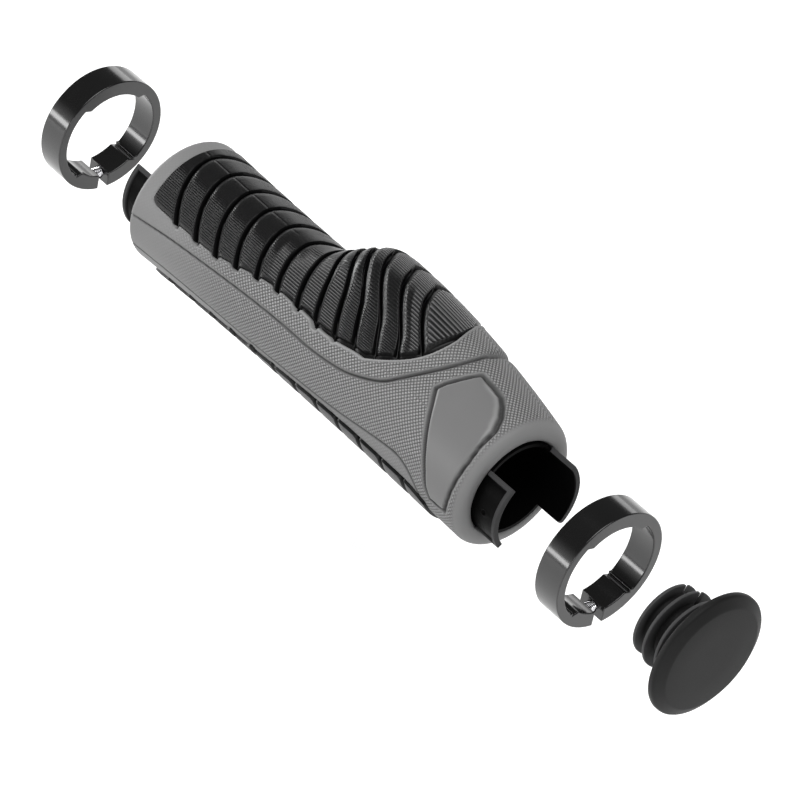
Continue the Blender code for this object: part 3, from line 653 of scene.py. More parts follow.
def rib_columns(line, grooves, start, end):
    """Columns of points across a pad, close together at each rib's edges, from its inner end outwards.

    Each is an apex, its rib's middle and ridge width, and a function of the angle that gives u, the way
    back to the rib's first groove and the way on to its last one, at right angles to the grooves.
    """
    bounds = [start] + list(grooves) + [end]
    room = (RIB_FIRST_SIDE[-1] + RIB_LAST_SIDE[0] + RIB_STEP) * MM
    columns = []
    for rib, (first, second) in enumerate(zip(bounds, bounds[1:])):
        is_last = rib == len(bounds) - 2
        before = 0.0 if rib else PAD_END_ROOM
        after = PAD_END_ROOM if is_last else 0.0
        count = max(int((second - first - room) / (RIB_STEP * MM)), 1)
        spots = [(0.0, step) for step in RIB_FIRST_SIDE]
        spots += [((i + 1) / (count + 1), None) for i in range(count)]
        spots += [(1.0, step) for step in RIB_LAST_SIDE]
        if is_last:
            spots.append((1.0, 0.0))
        for share, step in spots:

            def column(angle, first=first, second=second, share=share, step=step, before=before,
                       after=after):
                angle = np.atleast_1d(np.asarray(angle, dtype=float))
                low, high = line(first, angle), line(second, angle)
                nudge = 0.5
                slope = (line(first, angle + nudge) - line(first, angle - nudge)
                         + line(second, angle + nudge) - line(second, angle - nudge)) / 2.0
                lean = slope / (2.0 * math.radians(nudge) * skin_radius(low, angle))
                square = 1.0 / np.sqrt(1.0 + lean ** 2)
                width = (high - low) * square
                scale = np.minimum(1.0, width / room)
                near, far = RIB_FIRST_SIDE[-1] * MM * scale, width - RIB_LAST_SIDE[0] * MM * scale
                if step is None:
                    along = blend(near, far, share)
                else:
                    along = blend(step * MM * scale, width - step * MM * scale, share)
                return low + along / square, along + before, width - along + after

            ridges = (first + second) / 2.0, WIDER_RIDGES[min(rib, len(WIDER_RIDGES) - 1)]
            columns.append((first if share < 0.5 else second, ridges, column))
    return columns


def rib_rise(back, on, edge, half, frame):
    """Height of a rib as a share: a steep first wall with a chamfer, a steep last wall and a frame."""
    to_groove, to_end = np.minimum(back, on) - half, edge - frame
    reach = np.hypot(np.maximum(RIB_CORNER - to_groove, 0.0), np.maximum(RIB_CORNER - to_end, 0.0))
    inward = np.minimum(RIB_CORNER - reach, np.minimum(to_groove, to_end))
    wall = np.clip(inward / GROOVE_WALL, 0.0, 1.0)
    chamfer = np.sin(np.clip((back - half - GROOVE_WALL) / RIB_CHAMFER, 0.0, 1.0) * math.pi / 2.0)
    rise = blend(wall, np.minimum(wall, chamfer), RIB_CHAMFER_SHARE)
    return np.maximum(rise, PAD_FRAME_RISE * (edge < frame))


def pad_piece(name, within, crown, columns, rows, finish, stand=PAD_STAND):
    """A ribbed rubber pad let into the body's skin, closed underneath, with its outline on the skin."""
    top, bottom, uv, wear, lows, highs = [], [], [], [], [], []
    edge_steps = np.array(PAD_EDGE_STEPS) * MM
    for apex, (rib_middle, ridge_width), column in columns:
        middle = crown(apex)
        low = column_end(within, column, middle, -PAD_REACH)
        high = column_end(within, column, middle, PAD_REACH)
        low_u, low_back, low_on = (float(value[0]) for value in column(low))
        radius = float(skin_radius(low_u, low))
        spur = float(1.0 - ease(*SPUR_WIDTHS, min(low_back, low_on)) - ease(*SPURS_END, apex))
        spur = math.degrees(SPUR * max(spur, 0.0) / radius)
        low, high = low - spur, high + spur
        width = math.radians(high - low) * radius
        steps = edge_steps * min(1.0, width / 3.0 / edge_steps[-1])
        inner = np.linspace(steps[-1], width - steps[-1], rows)
        across = np.concatenate((steps[:-1], inner, width - steps[-2::-1]))
        angle = low + np.degrees(across / radius)
        u, back, on = column(angle)
        skin = skin_radius(u, angle)
        edge = np.minimum(across, width - across) * max(1.0, edge_steps[-1] / steps[-1])
        half, frame, lines, hide, seam, round_over = finish(apex, u, angle)
        rise = rib_rise(back, on, edge, half, frame)
        to_end = edge + RIDGE_END_GAIN * wing_share(apex) - RIDGE_FRAME_SHARE * frame
        lines = lines * ease(*RIDGE_BORDER, back - half) * ease(*RIDGE_LAST_BORDER, on - half)
        lines = lines * ease(*RIDGE_BORDER, to_end)
        # Painted highlight along the rib's first chamfer, for the colour.
        border = swell(back - half, CHAMFER_HIGHLIGHT_WIDTH, CHAMFER_HIGHLIGHT_AT) * ease(*CHAMFER_HIGHLIGHT_TURNS, angle)
        lift = stand - GROOVE_DEPTH * (1.0 - rise)
        from_groove = np.clip(np.minimum(back, on + RIB_CROWN_LEAN) / RIB_CROWN_WIDTH, 0.0, 1.0)
        lift = lift - RIB_CROWN * round_over * (1.0 - from_groove) ** 2
        lift = lift - PAD_EDGE_ROLL * (1.0 - ease(0.0, PAD_EDGE_ROLL_WIDTH, edge))
        lift = lift + WING_CREST_RISE * wing_share(apex) * swell(angle, WING_CREST_WIDTH, WING_CREST) * rise
        top.append(place(u, angle, skin + lift))
        under = np.linspace(angle[-1], angle[0], PAD_UNDER_POINTS)
        under_u = column(under)[0]
        bottom.append(place(under_u, under, skin_radius(under_u, under) - PAD_UNDERSIDE))
        girth = float(skin_radius(rib_middle, crown(rib_middle))) / ridge_width
        uv.append(np.stack((u, np.radians(angle) * girth), axis=-1))
        wear.append(np.stack((rise, lines, hide, seam, border), axis=-1))
        lows.append((float(u[0]), float(angle[0])))
        highs.append((float(u[-1]), float(angle[-1])))
        if len(top) == 1:
            start_edge = list(zip(u.tolist(), angle.tolist()))[1:-1]
    end_edge = list(zip(u.tolist(), angle.tolist()))[1:-1]
    grid = np.concatenate((np.array(top), np.array(bottom)), axis=1)
    onto_underside = ((0, 0), (0, PAD_UNDER_POINTS), (0, 0))
    spread, masks = (np.pad(np.array(values), onto_underside, mode="edge") for values in (uv, wear))
    item = grid_mesh(name, grid, wrap_columns=True, uv=spread,
                     masks={key: masks[..., i] for i, key in enumerate(PAD_MASKS)})
    close_ends(item, grid.shape[0], grid.shape[1])
    return item, lows + end_edge + highs[::-1] + start_edge[::-1]


def close_ends(item, rows, columns):
    """Close the two open ends of a wrapped grid."""
    bm = bmesh.new()
    bm.from_mesh(item.data)
    bm.verts.ensure_lookup_table()
    for start in (0, (rows - 1) * columns):
        bm.faces.new([bm.verts[start + i] for i in range(columns)])
    finish_mesh(bm, item.data)
    shade(item, 48.0)


def palm_finish(apex, u, angle):
    """Groove width, end frame, ridges, hide grain, seam and rounding of a column of the palm pad."""
    turn = wing_share(apex)
    from_top = np.abs(angle)
    half = blend(*GROOVE_HALF_WIDTHS, np.maximum(ease(*PALM_FLANK, from_top), turn))
    frame = PAD_FRAME * ease(*PALM_FRAME_GROWS, u)
    slim = ease(*SLIM_RIDGE_TURNS, from_top) * blend(SLIM_RIDGES_LEAST, 1.0, ease(*SLIM_RIDGES_GROW, u))
    fanned = float(ease(*FAN_STARTS, apex))
    first_line = blend(*FAN_RIDGE_TURNS, float(ease(*FAN_RIDGES_MOVE, apex)))
    fan = ease(first_line, first_line - FAN_RIDGES_FADE, angle)
    slim = np.maximum(slim * (1.0 - fanned), fanned * fan)
    triangle = float(ease(*TRIANGLE_STARTS, apex))
    ridges_start, ridges_full = (blend(wing, last, triangle)
                                 for wing, last in zip(WING_RIDGE_TURNS, TRIANGLE_TURNS))
    over_wing = np.maximum(ease(ridges_start, ridges_full, angle), WING_RIDGES_LEAST)
    to_wing = float(ease(*WING_RIDGES_START, apex))
    lines = blend(slim, over_wing, to_wing)
    seam = float(1.0 - ease(*SEAM_ENDS, apex)) + 0.0 * angle
    round_over = blend(blend(CROWN_ROUNDING_LEAST, 1.0, ease(*CROWN_ROUNDING_TURNS, from_top)), 1.0, turn)
    return half, frame, lines, (1.0 - lines) * to_wing, seam, round_over


def palm_pad_piece():
    """The black pad on top: slanted ribs that fan out over the wing."""
    columns = rib_columns(palm_line, groove_apexes(), PALM_STARTS + CLEARANCE,
                          palm_nose(WING_CROWN) - CLEARANCE)
    return pad_piece("palm_pad_ribbed", palm_inside, crown_angle, columns, 190, palm_finish)


def finger_finish(apex, u, angle):
    """Groove width, end frame, ridges, hide grain, seam and rounding of a column of the finger pad."""
    flank = ease(*FINGER_FLANK, np.abs(angle - FINGER_CROWN))
    half = blend(*GROOVE_HALF_WIDTHS, blend(FINGER_GROOVE_LEAST, 1.0, flank))
    none = 0.0 * angle
    return half, none, FINGER_RIDGES * flank, none, none, FINGER_ROUNDING


def finger_pad_piece():
    """The black pad underneath, with straight ribs for the fingers."""
    pitch = (FINGER_ENDS - FINGER_STARTS) / FINGER_RIBS
    grooves = [FINGER_STARTS + pitch * (i + 1) for i in range(FINGER_RIBS - 1)]
    columns = rib_columns(finger_line, grooves, FINGER_STARTS + CLEARANCE, FINGER_ENDS - CLEARANCE)
    return pad_piece("finger_pad_ribbed", finger_inside, lambda apex: FINGER_CROWN, columns, 130,
                     finger_finish, PAD_STAND + FINGER_PAD_RISE)


def body_rows():
    """Distances along the body and drops under its skin, rolled over at both ends."""
    turns = np.linspace(0.0, math.pi / 2.0, 11)
    inner = [(INNER_ROUNDING * (1.0 - math.sin(t)), INNER_ROUNDING * (1.0 - math.cos(t)))
             for t in turns[::-1]]
    outer = [(BODY_LENGTH - OUTER_ROUNDING * (1.0 - math.sin(t)), OUTER_ROUNDING * (1.0 - math.cos(t)))
             for t in turns]
    middle = []
    for start, end, step in BODY_SPANS:
        middle += [(u * MM, 0.0) for u in np.arange(start, end, step)]
    return inner + middle[1:] + outer


def body_columns():
    """Angles round the body, closest where its lines and edges show."""
    return np.concatenate([np.arange(start, end, step) for start, end, step in BODY_TURNS])


def channel(over, outer, inner):
    """1 in a channel between its outer and its inner wall, each a span across it, and 0 beside it."""
    return ease(*outer, over) * (1.0 - ease(*inner, over))


def body_lift(u, angle, outlines):
    """Height of the body's surface over its skin, and how far each place is from a line or an edge."""
    palm_outline, finger_outline = outlines
    upper, lower = smooth_path(UPPER_LINE, 4), smooth_path(LOWER_LINE, 4)
    panel, parting = ([(place_u * MM, turn) for place_u, turn in path] for path in (PANEL, PARTING_STEP))
    under = angle % 360.0
    to_palm, in_palm = distance_to(u, angle, palm_outline, closed=True), inside(u, angle, palm_outline)
    to_finger = distance_to(u, under, finger_outline, closed=True)
    in_finger = inside(u, under, finger_outline)
    to_upper, to_lower = distance_to(u, angle, upper), distance_to(u, angle, lower)
    to_panel, in_panel = distance_to(u, angle, panel, closed=True), inside(u, angle, panel)
    in_band = inside(u, angle, upper)
    below = inside(u, angle, lower + [(109.0 * MM, -180.0), (-1.0 * MM, -180.0)])
    toward_wing = ease(*TOWARD_WING, u)

    over = np.where(in_band, to_upper, -to_upper)
    half = blend(*LINE_HALF_WIDTHS, toward_wing)
    lift = blend(*BAND_RISES, toward_wing) * ease(0.0, BAND_EDGE, over)
    lift = lift - LINE_DEPTH * channel(over, (-half - LINE_OUTER_WALL, -half), UPPER_LINE_INNER)
    lip = swell(to_palm, LIP_WIDTH, LIP_AT) * ~in_palm
    lift = lift + LIP_RISE * lip * toward_wing
    notch = ease(*NOTCH_SPAN, u) * ease(*NOTCH_TURNS, angle)
    lift = lift - NOTCH_DEPTH * notch * swell(to_upper, NOTCH_WIDTH)
    over = np.where(below, to_lower, -to_lower)
    lift = lift - LINE_DEPTH * channel(over, LOWER_LINE_OUTER, LOWER_LINE_INNER)

    over = np.where(in_panel, to_panel, -to_panel)
    upper_right = ease(*UPPER_RIGHT_SPAN, u) * ease(*UPPER_RIGHT_TURNS, angle)
    bevel = blend(*PANEL_BEVELS, upper_right)
    over_groove = over + PANEL_GROOVE_WIDENS * upper_right * (over < 0.0)
    groove = ease(*PANEL_GROOVE_OUTER, over_groove) * (1.0 - ease(*PANEL_GROOVE_INNER, over))
    lift = lift - PANEL_DEPTH * groove
    rise = PANEL_RISE * (1.0 + PANEL_RISE_GAIN * upper_right)
    lift = lift + rise * ease(PANEL_BEVEL_STARTS, 0.4 * MM + bevel, over)
    past_parting = (u - 120.0 * MM) / MM * 1.3 + (angle - 12.0) * 0.16
    parted = swell(distance_to(u, angle, parting), PARTING_WIDTH) * (past_parting > -3.0)
    lift = lift - PARTING_DEPTH * parted
    for near, within in ((to_palm, in_palm), (to_finger, in_finger)):
        lift = blend(lift, -HOLLOW_DEPTH, np.where(within, ease(0.0, PAD_WALL, near), 0.0))

    edge_light = swell(over, 0.16 * MM + 0.3 * bevel, 0.4 * MM + 0.6 * bevel)
    edge_light = edge_light * in_panel * blend(0.35, 1.0, upper_right)
    # Painted shade for the colour along the panel's groove and the pressed lines, kept as the groove share.
    panel_groove_shade = np.exp(-(np.abs(over_groove + 0.1 * MM) / (0.55 * MM)) ** 4)
    smooth = in_palm | in_finger | in_panel
    shares = {"knurl": knurl_share(u, to_upper, to_lower, to_panel, to_palm, below) * ~smooth,
              "groove": np.maximum(panel_groove_shade, swell(np.minimum(to_upper, to_lower), 0.3 * MM)),
              "panel": in_panel * ease(0.3 * MM, 0.5 * MM, to_panel),
              "shine": np.maximum(edge_light, 0.8 * toward_wing * lip)}
    return lift, shares


def knurl_share(u, to_upper, to_lower, to_panel, to_palm, below):
    """Where the knurl shows on the rubber body, away from its lines and edges and its two ends."""
    share = ease(*KNURL_FROM_LINES, np.minimum(to_upper, to_lower)) * ease(*KNURL_FROM_PANEL, to_panel)
    share = share * ease(*KNURL_FROM_PALM, to_palm - KNURL_FROM_PALM[1] * ease(*KNURL_NEARS_PALM, u))
    share = share * blend(1.0, KNURL_BELOW, below)
    return share * blend(KNURL_LEAST, 1.0, ease(*KNURL_GROWS, u)) * (1.0 - ease(*KNURL_ENDS, u))


def rubber_body_piece(outlines):
    """The grey rubber body: pressed lines, a bare raised panel, hollows for the pads and a knurl mask."""
    rows = body_rows()
    turns = body_columns()
    u = np.repeat(np.array([row[0] for row in rows])[:, None], len(turns), axis=1)
    drop = np.array([row[1] for row in rows])[:, None]
    angle = turns[None, :] + 0.0 * u
    lift, shares = body_lift(u, angle, outlines)
    skin = skin_radius(u, angle)
    outside = place(u, angle, skin + lift - drop)
    bore = BODY_BORE + 0.0 * angle[:1]
    lead = BODY_BORE + BORE_ROUNDING + 0.0 * angle[:1]
    in_a_little = BORE_ROUNDING + 0.0 * u[:1]
    points = np.concatenate((place(in_a_little, angle[:1], bore), place(u[:1], angle[:1], lead), outside,
                             place(u[-1:], angle[-1:], lead),
                             place(BODY_LENGTH - in_a_little, angle[-1:], bore)), axis=0)
    steps = np.diff(np.concatenate((turns, turns[:1] + 360.0)))
    arc_length = np.cumsum(skin * np.radians(steps)[None, :], axis=1)
    spread = np.stack((u, arc_length), axis=-1)
    pad = ((2, 2), (0, 0))
    masks = {name: np.pad(values, pad) for name, values in shares.items()}
    item = grid_mesh("rubber_body_skin", points, wrap_rows=True, wrap_columns=True,
                     uv=np.pad(spread, pad + ((0, 0),), mode="edge"), masks=masks)
    shade(item, 55.0)
    return item


def sleeve_tube():
    """The sleeve's tube, hidden in the rubber apart from its ends."""
    start, end = BODY_INNER_FACE - CLEARANCE + SEAT_GAP, BODY_OUTER_FACE + CLEARANCE - SEAT_GAP
    profile = [(start, SLEEVE_BORE), (start, SLEEVE_RADIUS), (end, SLEEVE_RADIUS), (end, SLEEVE_BORE)]
    tube = turned("sleeve_tube", profile)
    shade(tube)
    return tube


def sleeve_tab(name, root, outward, middle):
    """A curved tab with a raised border, a locating dimple and its lower corner rounded off."""
    half_angle = math.radians(TAB_HALF_ANGLE)
    to_edge = np.array(TAB_TO_EDGE) * MM
    x = np.concatenate((np.array(TAB_ALONG) * MM, TAB_LENGTH - to_edge))
    from_middle = 1.0 - to_edge / (half_angle * TAB_RADIUS)
    dense = np.concatenate((-from_middle[::-1],
                            np.linspace(-TAB_MIDDLE_SHARE, TAB_MIDDLE_SHARE, TAB_MIDDLE_POINTS),
                            from_middle))
    to_end = TAB_LENGTH - x
    halves = []
    for size in TAB_CORNERS:
        corner = np.maximum(size - to_end, 0.0)
        inset = size - np.sqrt(np.maximum(size ** 2 - corner ** 2, 0.0))
        halves.append((half_angle - inset / TAB_RADIUS)[:, None])
    lower = dense[None, :] > 0.0 if middle > 0.0 else dense[None, :] < 0.0
    half = np.where(lower, halves[1], halves[0])
    turn = half * dense[None, :]
    from_side = (1.0 - np.abs(dense))[None, :] * half * TAB_RADIUS
    from_edge = np.minimum(from_side, to_end[:, None])
    dimple = np.hypot(x[:, None] - TAB_LENGTH * TAB_DIMPLE_AT, turn * TAB_RADIUS)
    roll = TAB_ROLL * (1.0 - ease(0.0, TAB_ROLL_WIDTH, from_edge))
    outer = TAB_RADIUS - TAB_SINK * ease(*TAB_BORDER_WALL, from_edge) - roll
    outer = outer - TAB_DIMPLE_DEPTH * (1.0 - ease(*TAB_DIMPLE_WALL, dimple))
    outer = outer + TAB_DIMPLE_LIP * swell(dimple, TAB_DIMPLE_LIP_WIDTH, TAB_DIMPLE_LIP_AT)
    outer = outer - TAB_LINE_DEPTH * swell(from_edge, TAB_LINE_WIDTH, TAB_LINE_AT)
    # Painted highlight: the rim mask lightens the tab's border on top and its edge underneath.
    rim = 1.0 - ease(*TAB_RIM_HIGHLIGHT, from_edge)
    under_rim_highlight = 1.0 - ease(0.0, TAB_UNDER_RIM_HIGHLIGHT, from_edge)
    along = root + outward * x[:, None] + 0.0 * turn
    angle = math.radians(middle) + turn
    top, under = (np.stack((along, radius * np.sin(angle), radius * np.cos(angle)), axis=-1)
                  for radius in (outer, SLEEVE_BORE + roll))
    grid = np.concatenate((top, under[:, ::-1]), axis=1)
    tab = grid_mesh(name, grid, wrap_columns=True,
                    masks={"rim": np.concatenate((rim, under_rim_highlight[:, ::-1]), axis=1)})
    bm = bmesh.new()
    bm.from_mesh(tab.data)
    bm.verts.ensure_lookup_table()
    rows, columns = grid.shape[:2]
    for start in (0, (rows - 1) * columns):
        loop = [bm.verts[start + i] for i in range(columns)]
        for i in range(columns // 2 - 1):
            bm.faces.new((loop[i], loop[i + 1], loop[columns - 2 - i], loop[columns - 1 - i]))
    finish_mesh(bm, tab.data)
    shade(tab, 42.0)
    return tab


def arc(radius, first, last, steps):
    """Points of an arc about the bar's axis, as (radius, angle)."""
    return [(radius, blend(first, last, i / steps)) for i in range(steps + 1)]


def ring_outline():
    """A clamp ring's outline: keys at the top and beside the slit, pockets for the tabs between."""
    slit_in = math.degrees(math.asin(RING_SLIT / 2.0 / RING_KEY))
    slit_out = math.degrees(math.asin(RING_SLIT / 2.0 / RING_RADIUS))
    relief = (RING_KEY + RING_POCKET) / 2.0
    key, lug = KEY_HALF_ANGLE, 180.0 - LUG_HALF_ANGLE
    inside_half = (arc(RING_KEY, 0.0, key - KEY_FLANK, 16) + [(relief, key)]
                   + arc(RING_POCKET, key + KEY_FLANK, lug - 3.0 * LUG_NOTCH, 36)
                   + [(relief, lug - 2.0 * LUG_NOTCH), (RING_POCKET, lug - LUG_NOTCH), (relief, lug)]
                   + arc(RING_KEY, lug + KEY_FLANK, 180.0 - slit_in, 12))
    outside = arc(RING_RADIUS, 180.0 - slit_out, 0.0, 72)
    mirrored = [(radius, 360.0 - angle) for radius, angle in inside_half[1:] + outside[:-1]]
    return inside_half + outside + mirrored[::-1]


def clamp_ring(name, node):
    """A split clamp ring with crisp rolled edges and a screw hole through its lugs."""
    x = middle_of(node).x
    outline = [(r * math.sin(math.radians(a)), r * math.cos(math.radians(a))) for r, a in ring_outline()]

    def build(bm):
        loft(bm, [[Vector((x + side * RING_WIDTH / 2.0, y, z)) for y, z in outline]
                  for side in (-1.0, 1.0)])

    ring = mesh_object(name, build)
    round_edges(ring, RING_EDGE, 4, 40.0)
    cut(ring, [rod("screw_way", (x, 0.0, -SCREW_AT), (0.0, 1.0, 0.0), SCREW_RADIUS + CLEARANCE,
                   4.0 * RING_RADIUS)])
    shade(ring, 32.0)
    even = ring.modifiers.new("Even shading", "WEIGHTED_NORMAL")
    even.keep_sharp = True
    even.weight = 100
    apply_modifiers(ring)
    return ring


def clamp_screw(name, node):
    """A clamp screw with its thread and a six-sided socket."""
    centre = middle_of(node)
    steps = int(SCREW_LENGTH / SCREW_PITCH * 8)
    y = np.linspace(-SCREW_LENGTH / 2.0, SCREW_LENGTH / 2.0, steps)
    turn = np.linspace(0.0, 2.0 * math.pi, 32, endpoint=False)
    phase = (y[:, None] / SCREW_PITCH + turn[None, :] / (2.0 * math.pi)) % 1.0
    to_end = SCREW_LENGTH / 2.0 - np.abs(y)[:, None]
    radius = SCREW_RADIUS - SCREW_THREAD_DEPTH * np.abs(2.0 * phase - 1.0)
    radius = np.minimum(radius, SCREW_RADIUS - SCREW_END_CHAMFER + to_end)
    points = np.stack((centre.x + radius * np.cos(turn), centre.y + y[:, None] + 0.0 * radius,
                       centre.z + radius * np.sin(turn)), axis=-1)
    screw = grid_mesh(name, points, wrap_columns=True)
    bm = bmesh.new()
    bm.from_mesh(screw.data)
    bmesh.ops.holes_fill(bm, edges=[edge for edge in bm.edges if edge.is_boundary])
    finish_mesh(bm, screw.data)
    cut(screw, [rod("socket", (centre.x, centre.y - SCREW_LENGTH / 2.0, centre.z), (0.0, 1.0, 0.0),
                    SCREW_SOCKET, SCREW_SOCKET_DEPTH, 6)])
    shade(screw, 25.0)
    return screw


def plug_profile(x):
    """Outline of the end plug from its face to its stem's tip, then back along its axis."""
    flat = PLUG_RADIUS - PLUG_BEVEL
    face = x + PLUG_THICKNESS
    profile = [(face, AXIS_GAP), (face, flat * 0.5), (face, flat - 0.25 * MM),
               (face - 0.05 * MM, flat), (face - 0.2 * MM, flat + 0.35 * MM),
               (x + PLUG_RIM + 0.15 * MM, PLUG_RADIUS - 0.55 * MM), (x + PLUG_RIM, PLUG_RADIUS - 0.25 * MM),
               (x + PLUG_RIM - 0.3 * MM, PLUG_RADIUS - 0.05 * MM), (x + PLUG_RIM - 0.6 * MM, PLUG_RADIUS),
               (x + 0.35 * MM, PLUG_RADIUS), (x + 0.1 * MM, PLUG_RADIUS - 0.1 * MM),
               (x, PLUG_RADIUS - 0.35 * MM), (x, PLUG_CORE_RADIUS)]
    pitch = (PLUG_STEM_LENGTH - PLUG_FIN_THICKNESS) / PLUG_FINS
    for fin in range(PLUG_FINS):
        back = x - pitch * (fin + 1)
        front = back - PLUG_FIN_THICKNESS
        rim = PLUG_FIN_RADIUS - (PLUG_LAST_FIN_LESS if fin == PLUG_FINS - 1 else 0.0)
        profile += [(back + 0.4 * MM, PLUG_CORE_RADIUS), (back + 0.05 * MM, PLUG_CORE_RADIUS + 0.4 * MM),
                    (back, rim - 0.25 * MM), (back - 0.08 * MM, rim - 0.06 * MM), (back - 0.25 * MM, rim),
                    (front + 0.25 * MM, rim), (front + 0.06 * MM, rim - 0.1 * MM), (front, rim - 0.3 * MM)]
        if fin < PLUG_FINS - 1:
            profile += [(front - 0.02 * MM, PLUG_CORE_RADIUS + 0.4 * MM),
                        (front - 0.4 * MM, PLUG_CORE_RADIUS)]
    tip = x - PLUG_STEM_LENGTH
    return profile + [(tip, PLUG_CORE_RADIUS), (tip, AXIS_GAP)]


def plug_piece():
    """The push-in end plug: a bevelled disc on a finned stem that is slotted so that it can give."""
    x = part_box("end_plug")[1][0] - PLUG_THICKNESS
    plug = turned("end_plug_turned", plug_profile(x), 160)
    slots = []
    depth = PLUG_STEM_LENGTH - PLUG_FIN_THICKNESS
    middle = (PLUG_CORE_RADIUS + PLUG_SLOT_REACH) / 2.0
    for turn in range(2):
        angle = turn * math.pi + PLUG_SLOT_TURN

        def build(bm, angle=angle):
            size = Matrix.Diagonal((depth, PLUG_SLOT_REACH - PLUG_CORE_RADIUS, PLUG_SLOT, 1.0))
            centre = Matrix.Translation((x - PLUG_STEM_LENGTH + depth / 2.0 - CLEARANCE, middle, 0.0))
            bmesh.ops.create_cube(bm, size=1.0, matrix=Matrix.Rotation(angle, 4, "X") @ centre @ size)

        slots.append(mesh_object(f"slot_{turn}", build))
    cut(plug, slots)
    corners = np.empty(3 * len(plug.data.vertices), dtype=np.float32)
    plug.data.vertices.foreach_get("co", corners)
    along, y, z = corners.reshape(-1, 3).T
    # Painted highlight: the rim mask lightens the fins' rims.
    fin_rim_highlights = ease(*PLUG_FIN_RIM_HIGHLIGHTS, np.hypot(y, z)) * (along < x - 0.2 * MM)
    rim = plug.data.attributes.new("rim", "FLOAT", "POINT")
    rim.data.foreach_set("value", fin_rim_highlights.astype(np.float32))
    shade(plug, 40.0)
    return plug


def new_group(name, vector, numbers, results):
    """A shader node group with a vector, named numbers and its results, and its two end nodes."""
    group = bpy.data.node_groups.new(name, "ShaderNodeTree")
    group.interface.new_socket(vector, in_out="INPUT", socket_type="NodeSocketVector")
    for socket, value in numbers.items():
        made = group.interface.new_socket(socket, in_out="INPUT", socket_type="NodeSocketFloat")
        made.default_value = value
    for socket in results:
        group.interface.new_socket(socket, in_out="OUTPUT", socket_type="NodeSocketFloat")
    return group, group.nodes.new("NodeGroupInput"), group.nodes.new("NodeGroupOutput")


def add(tree, kind, settings=None, **values):
    """A node with its settings and unlinked socket values."""
    node = tree.nodes.new(kind)
    for key, value in (settings or {}).items():
        setattr(node, key, value)
    for key, value in values.items():
        node.inputs[key.replace("_", " ")].default_value = value
    return node


def maths(tree, operation, first, second=None, clamp=False):
    """A Math node on two values or links."""
    node = add(tree, "ShaderNodeMath", {"operation": operation, "use_clamp": clamp})
    for socket, value in zip(node.inputs, (first, second)):
        if isinstance(value, bpy.types.NodeSocket):
            tree.links.new(value, socket)
        elif value is not None:
            socket.default_value = value
    return node.outputs[0]


def mix_colours(tree, share, first, second):
    """A colour a share of the way from first to second."""
    node = add(tree, "ShaderNodeMix", {"data_type": "RGBA"})
    for socket, value in ((node.inputs[0], share), (node.inputs[6], first), (node.inputs[7], second)):
        if isinstance(value, bpy.types.NodeSocket):
            tree.links.new(value, socket)
        else:
            socket.default_value = value
    return node.outputs[2]


def lay_over(tree, tint, share, amount, colour):
    """A tint with a colour laid over it, by a share of an amount."""
    return mix_colours(tree, maths(tree, "MULTIPLY", share, amount), tint, colour)


def grey(level, blue=0.0):
    """A grey, as black or white as its level, that may lean to blue."""
    return level, level, level + blue, 1.0


def split_vector(tree, vector):
    """The X, Y and Z of a vector."""
    node = tree.nodes.new("ShaderNodeSeparateXYZ")
    tree.links.new(vector, node.inputs[0])
    return node.outputs["X"], node.outputs["Y"], node.outputs["Z"]


def waves(tree, along, turns, pitch):
    """One half wave after another, from a way along, its turn in each pitch and the pitch."""
    turn = maths(tree, "DIVIDE", maths(tree, "MULTIPLY", along, turns), pitch)
    return maths(tree, "ABSOLUTE", maths(tree, "SINE", turn))


def moulded_grain_group():
    """Fine moulded grain as a height, and faint stains as a tint share."""
    group, enter, leave = new_group("moulded_grain", "Vector", {"Grain Scale": 2500.0, "Stain Scale": 60.0},
                                    ("Height", "Stain"))
    for detail, roughness, scale, result in ((4.0, 0.6, "Grain Scale", "Height"),
                                             (3.0, 0.55, "Stain Scale", "Stain")):
        noise = add(group, "ShaderNodeTexNoise", Detail=detail, Roughness=roughness)
        group.links.new(enter.outputs["Vector"], noise.inputs["Vector"])
        group.links.new(enter.outputs[scale], noise.inputs["Scale"])
        group.links.new(noise.outputs["Fac"], leave.inputs[result])
    return group


def knurl_group():
    """A knurl of round dots in rows, by distances over the skin in millimetres."""
    group, enter, leave = new_group("knurl", "Place", {"Pitch": 1.0}, ("Height",))
    along, across, _ = split_vector(group, enter.outputs["Place"])
    slants = [waves(group, maths(group, operation, along, across), math.pi / math.sqrt(2.0),
                    enter.outputs["Pitch"]) for operation in ("ADD", "SUBTRACT")]
    group.links.new(maths(group, "POWER", maths(group, "MULTIPLY", *slants), 0.7), leave.inputs["Height"])
    return group


def ridge_group():
    """Fine ridges along the bar with a seam at the crown, by distances over the skin in millimetres."""
    group, enter, leave = new_group("ridges", "Place", {"Pitch": 0.6, "Seam Width": 0.3}, ("Height", "Seam"))
    across = split_vector(group, enter.outputs["Place"])[1]
    ridge = maths(group, "POWER", waves(group, across, math.pi, enter.outputs["Pitch"]), 1.3)
    group.links.new(ridge, leave.inputs["Height"])
    away = maths(group, "DIVIDE", maths(group, "ABSOLUTE", across), enter.outputs["Seam Width"])
    group.links.new(maths(group, "SUBTRACT", 1.0, away, True), leave.inputs["Seam"])
    return group


def start_material(name):
    """A material with its node tree, its shader and its object coordinates."""
    material = bpy.data.materials.new(name)
    material.use_nodes = True
    tree = material.node_tree
    shader = tree.nodes["Principled BSDF"]
    coordinates = tree.nodes.new("ShaderNodeTexCoord")
    return material, tree, shader, coordinates.outputs["Object"]


def use_group(tree, group, vector, **values):
    """A placed node group with its vector linked."""
    node = tree.nodes.new("ShaderNodeGroup")
    node.node_tree = group
    tree.links.new(vector, node.inputs[0])
    for key, value in values.items():
        node.inputs[key.replace("_", " ")].default_value = value
    return node


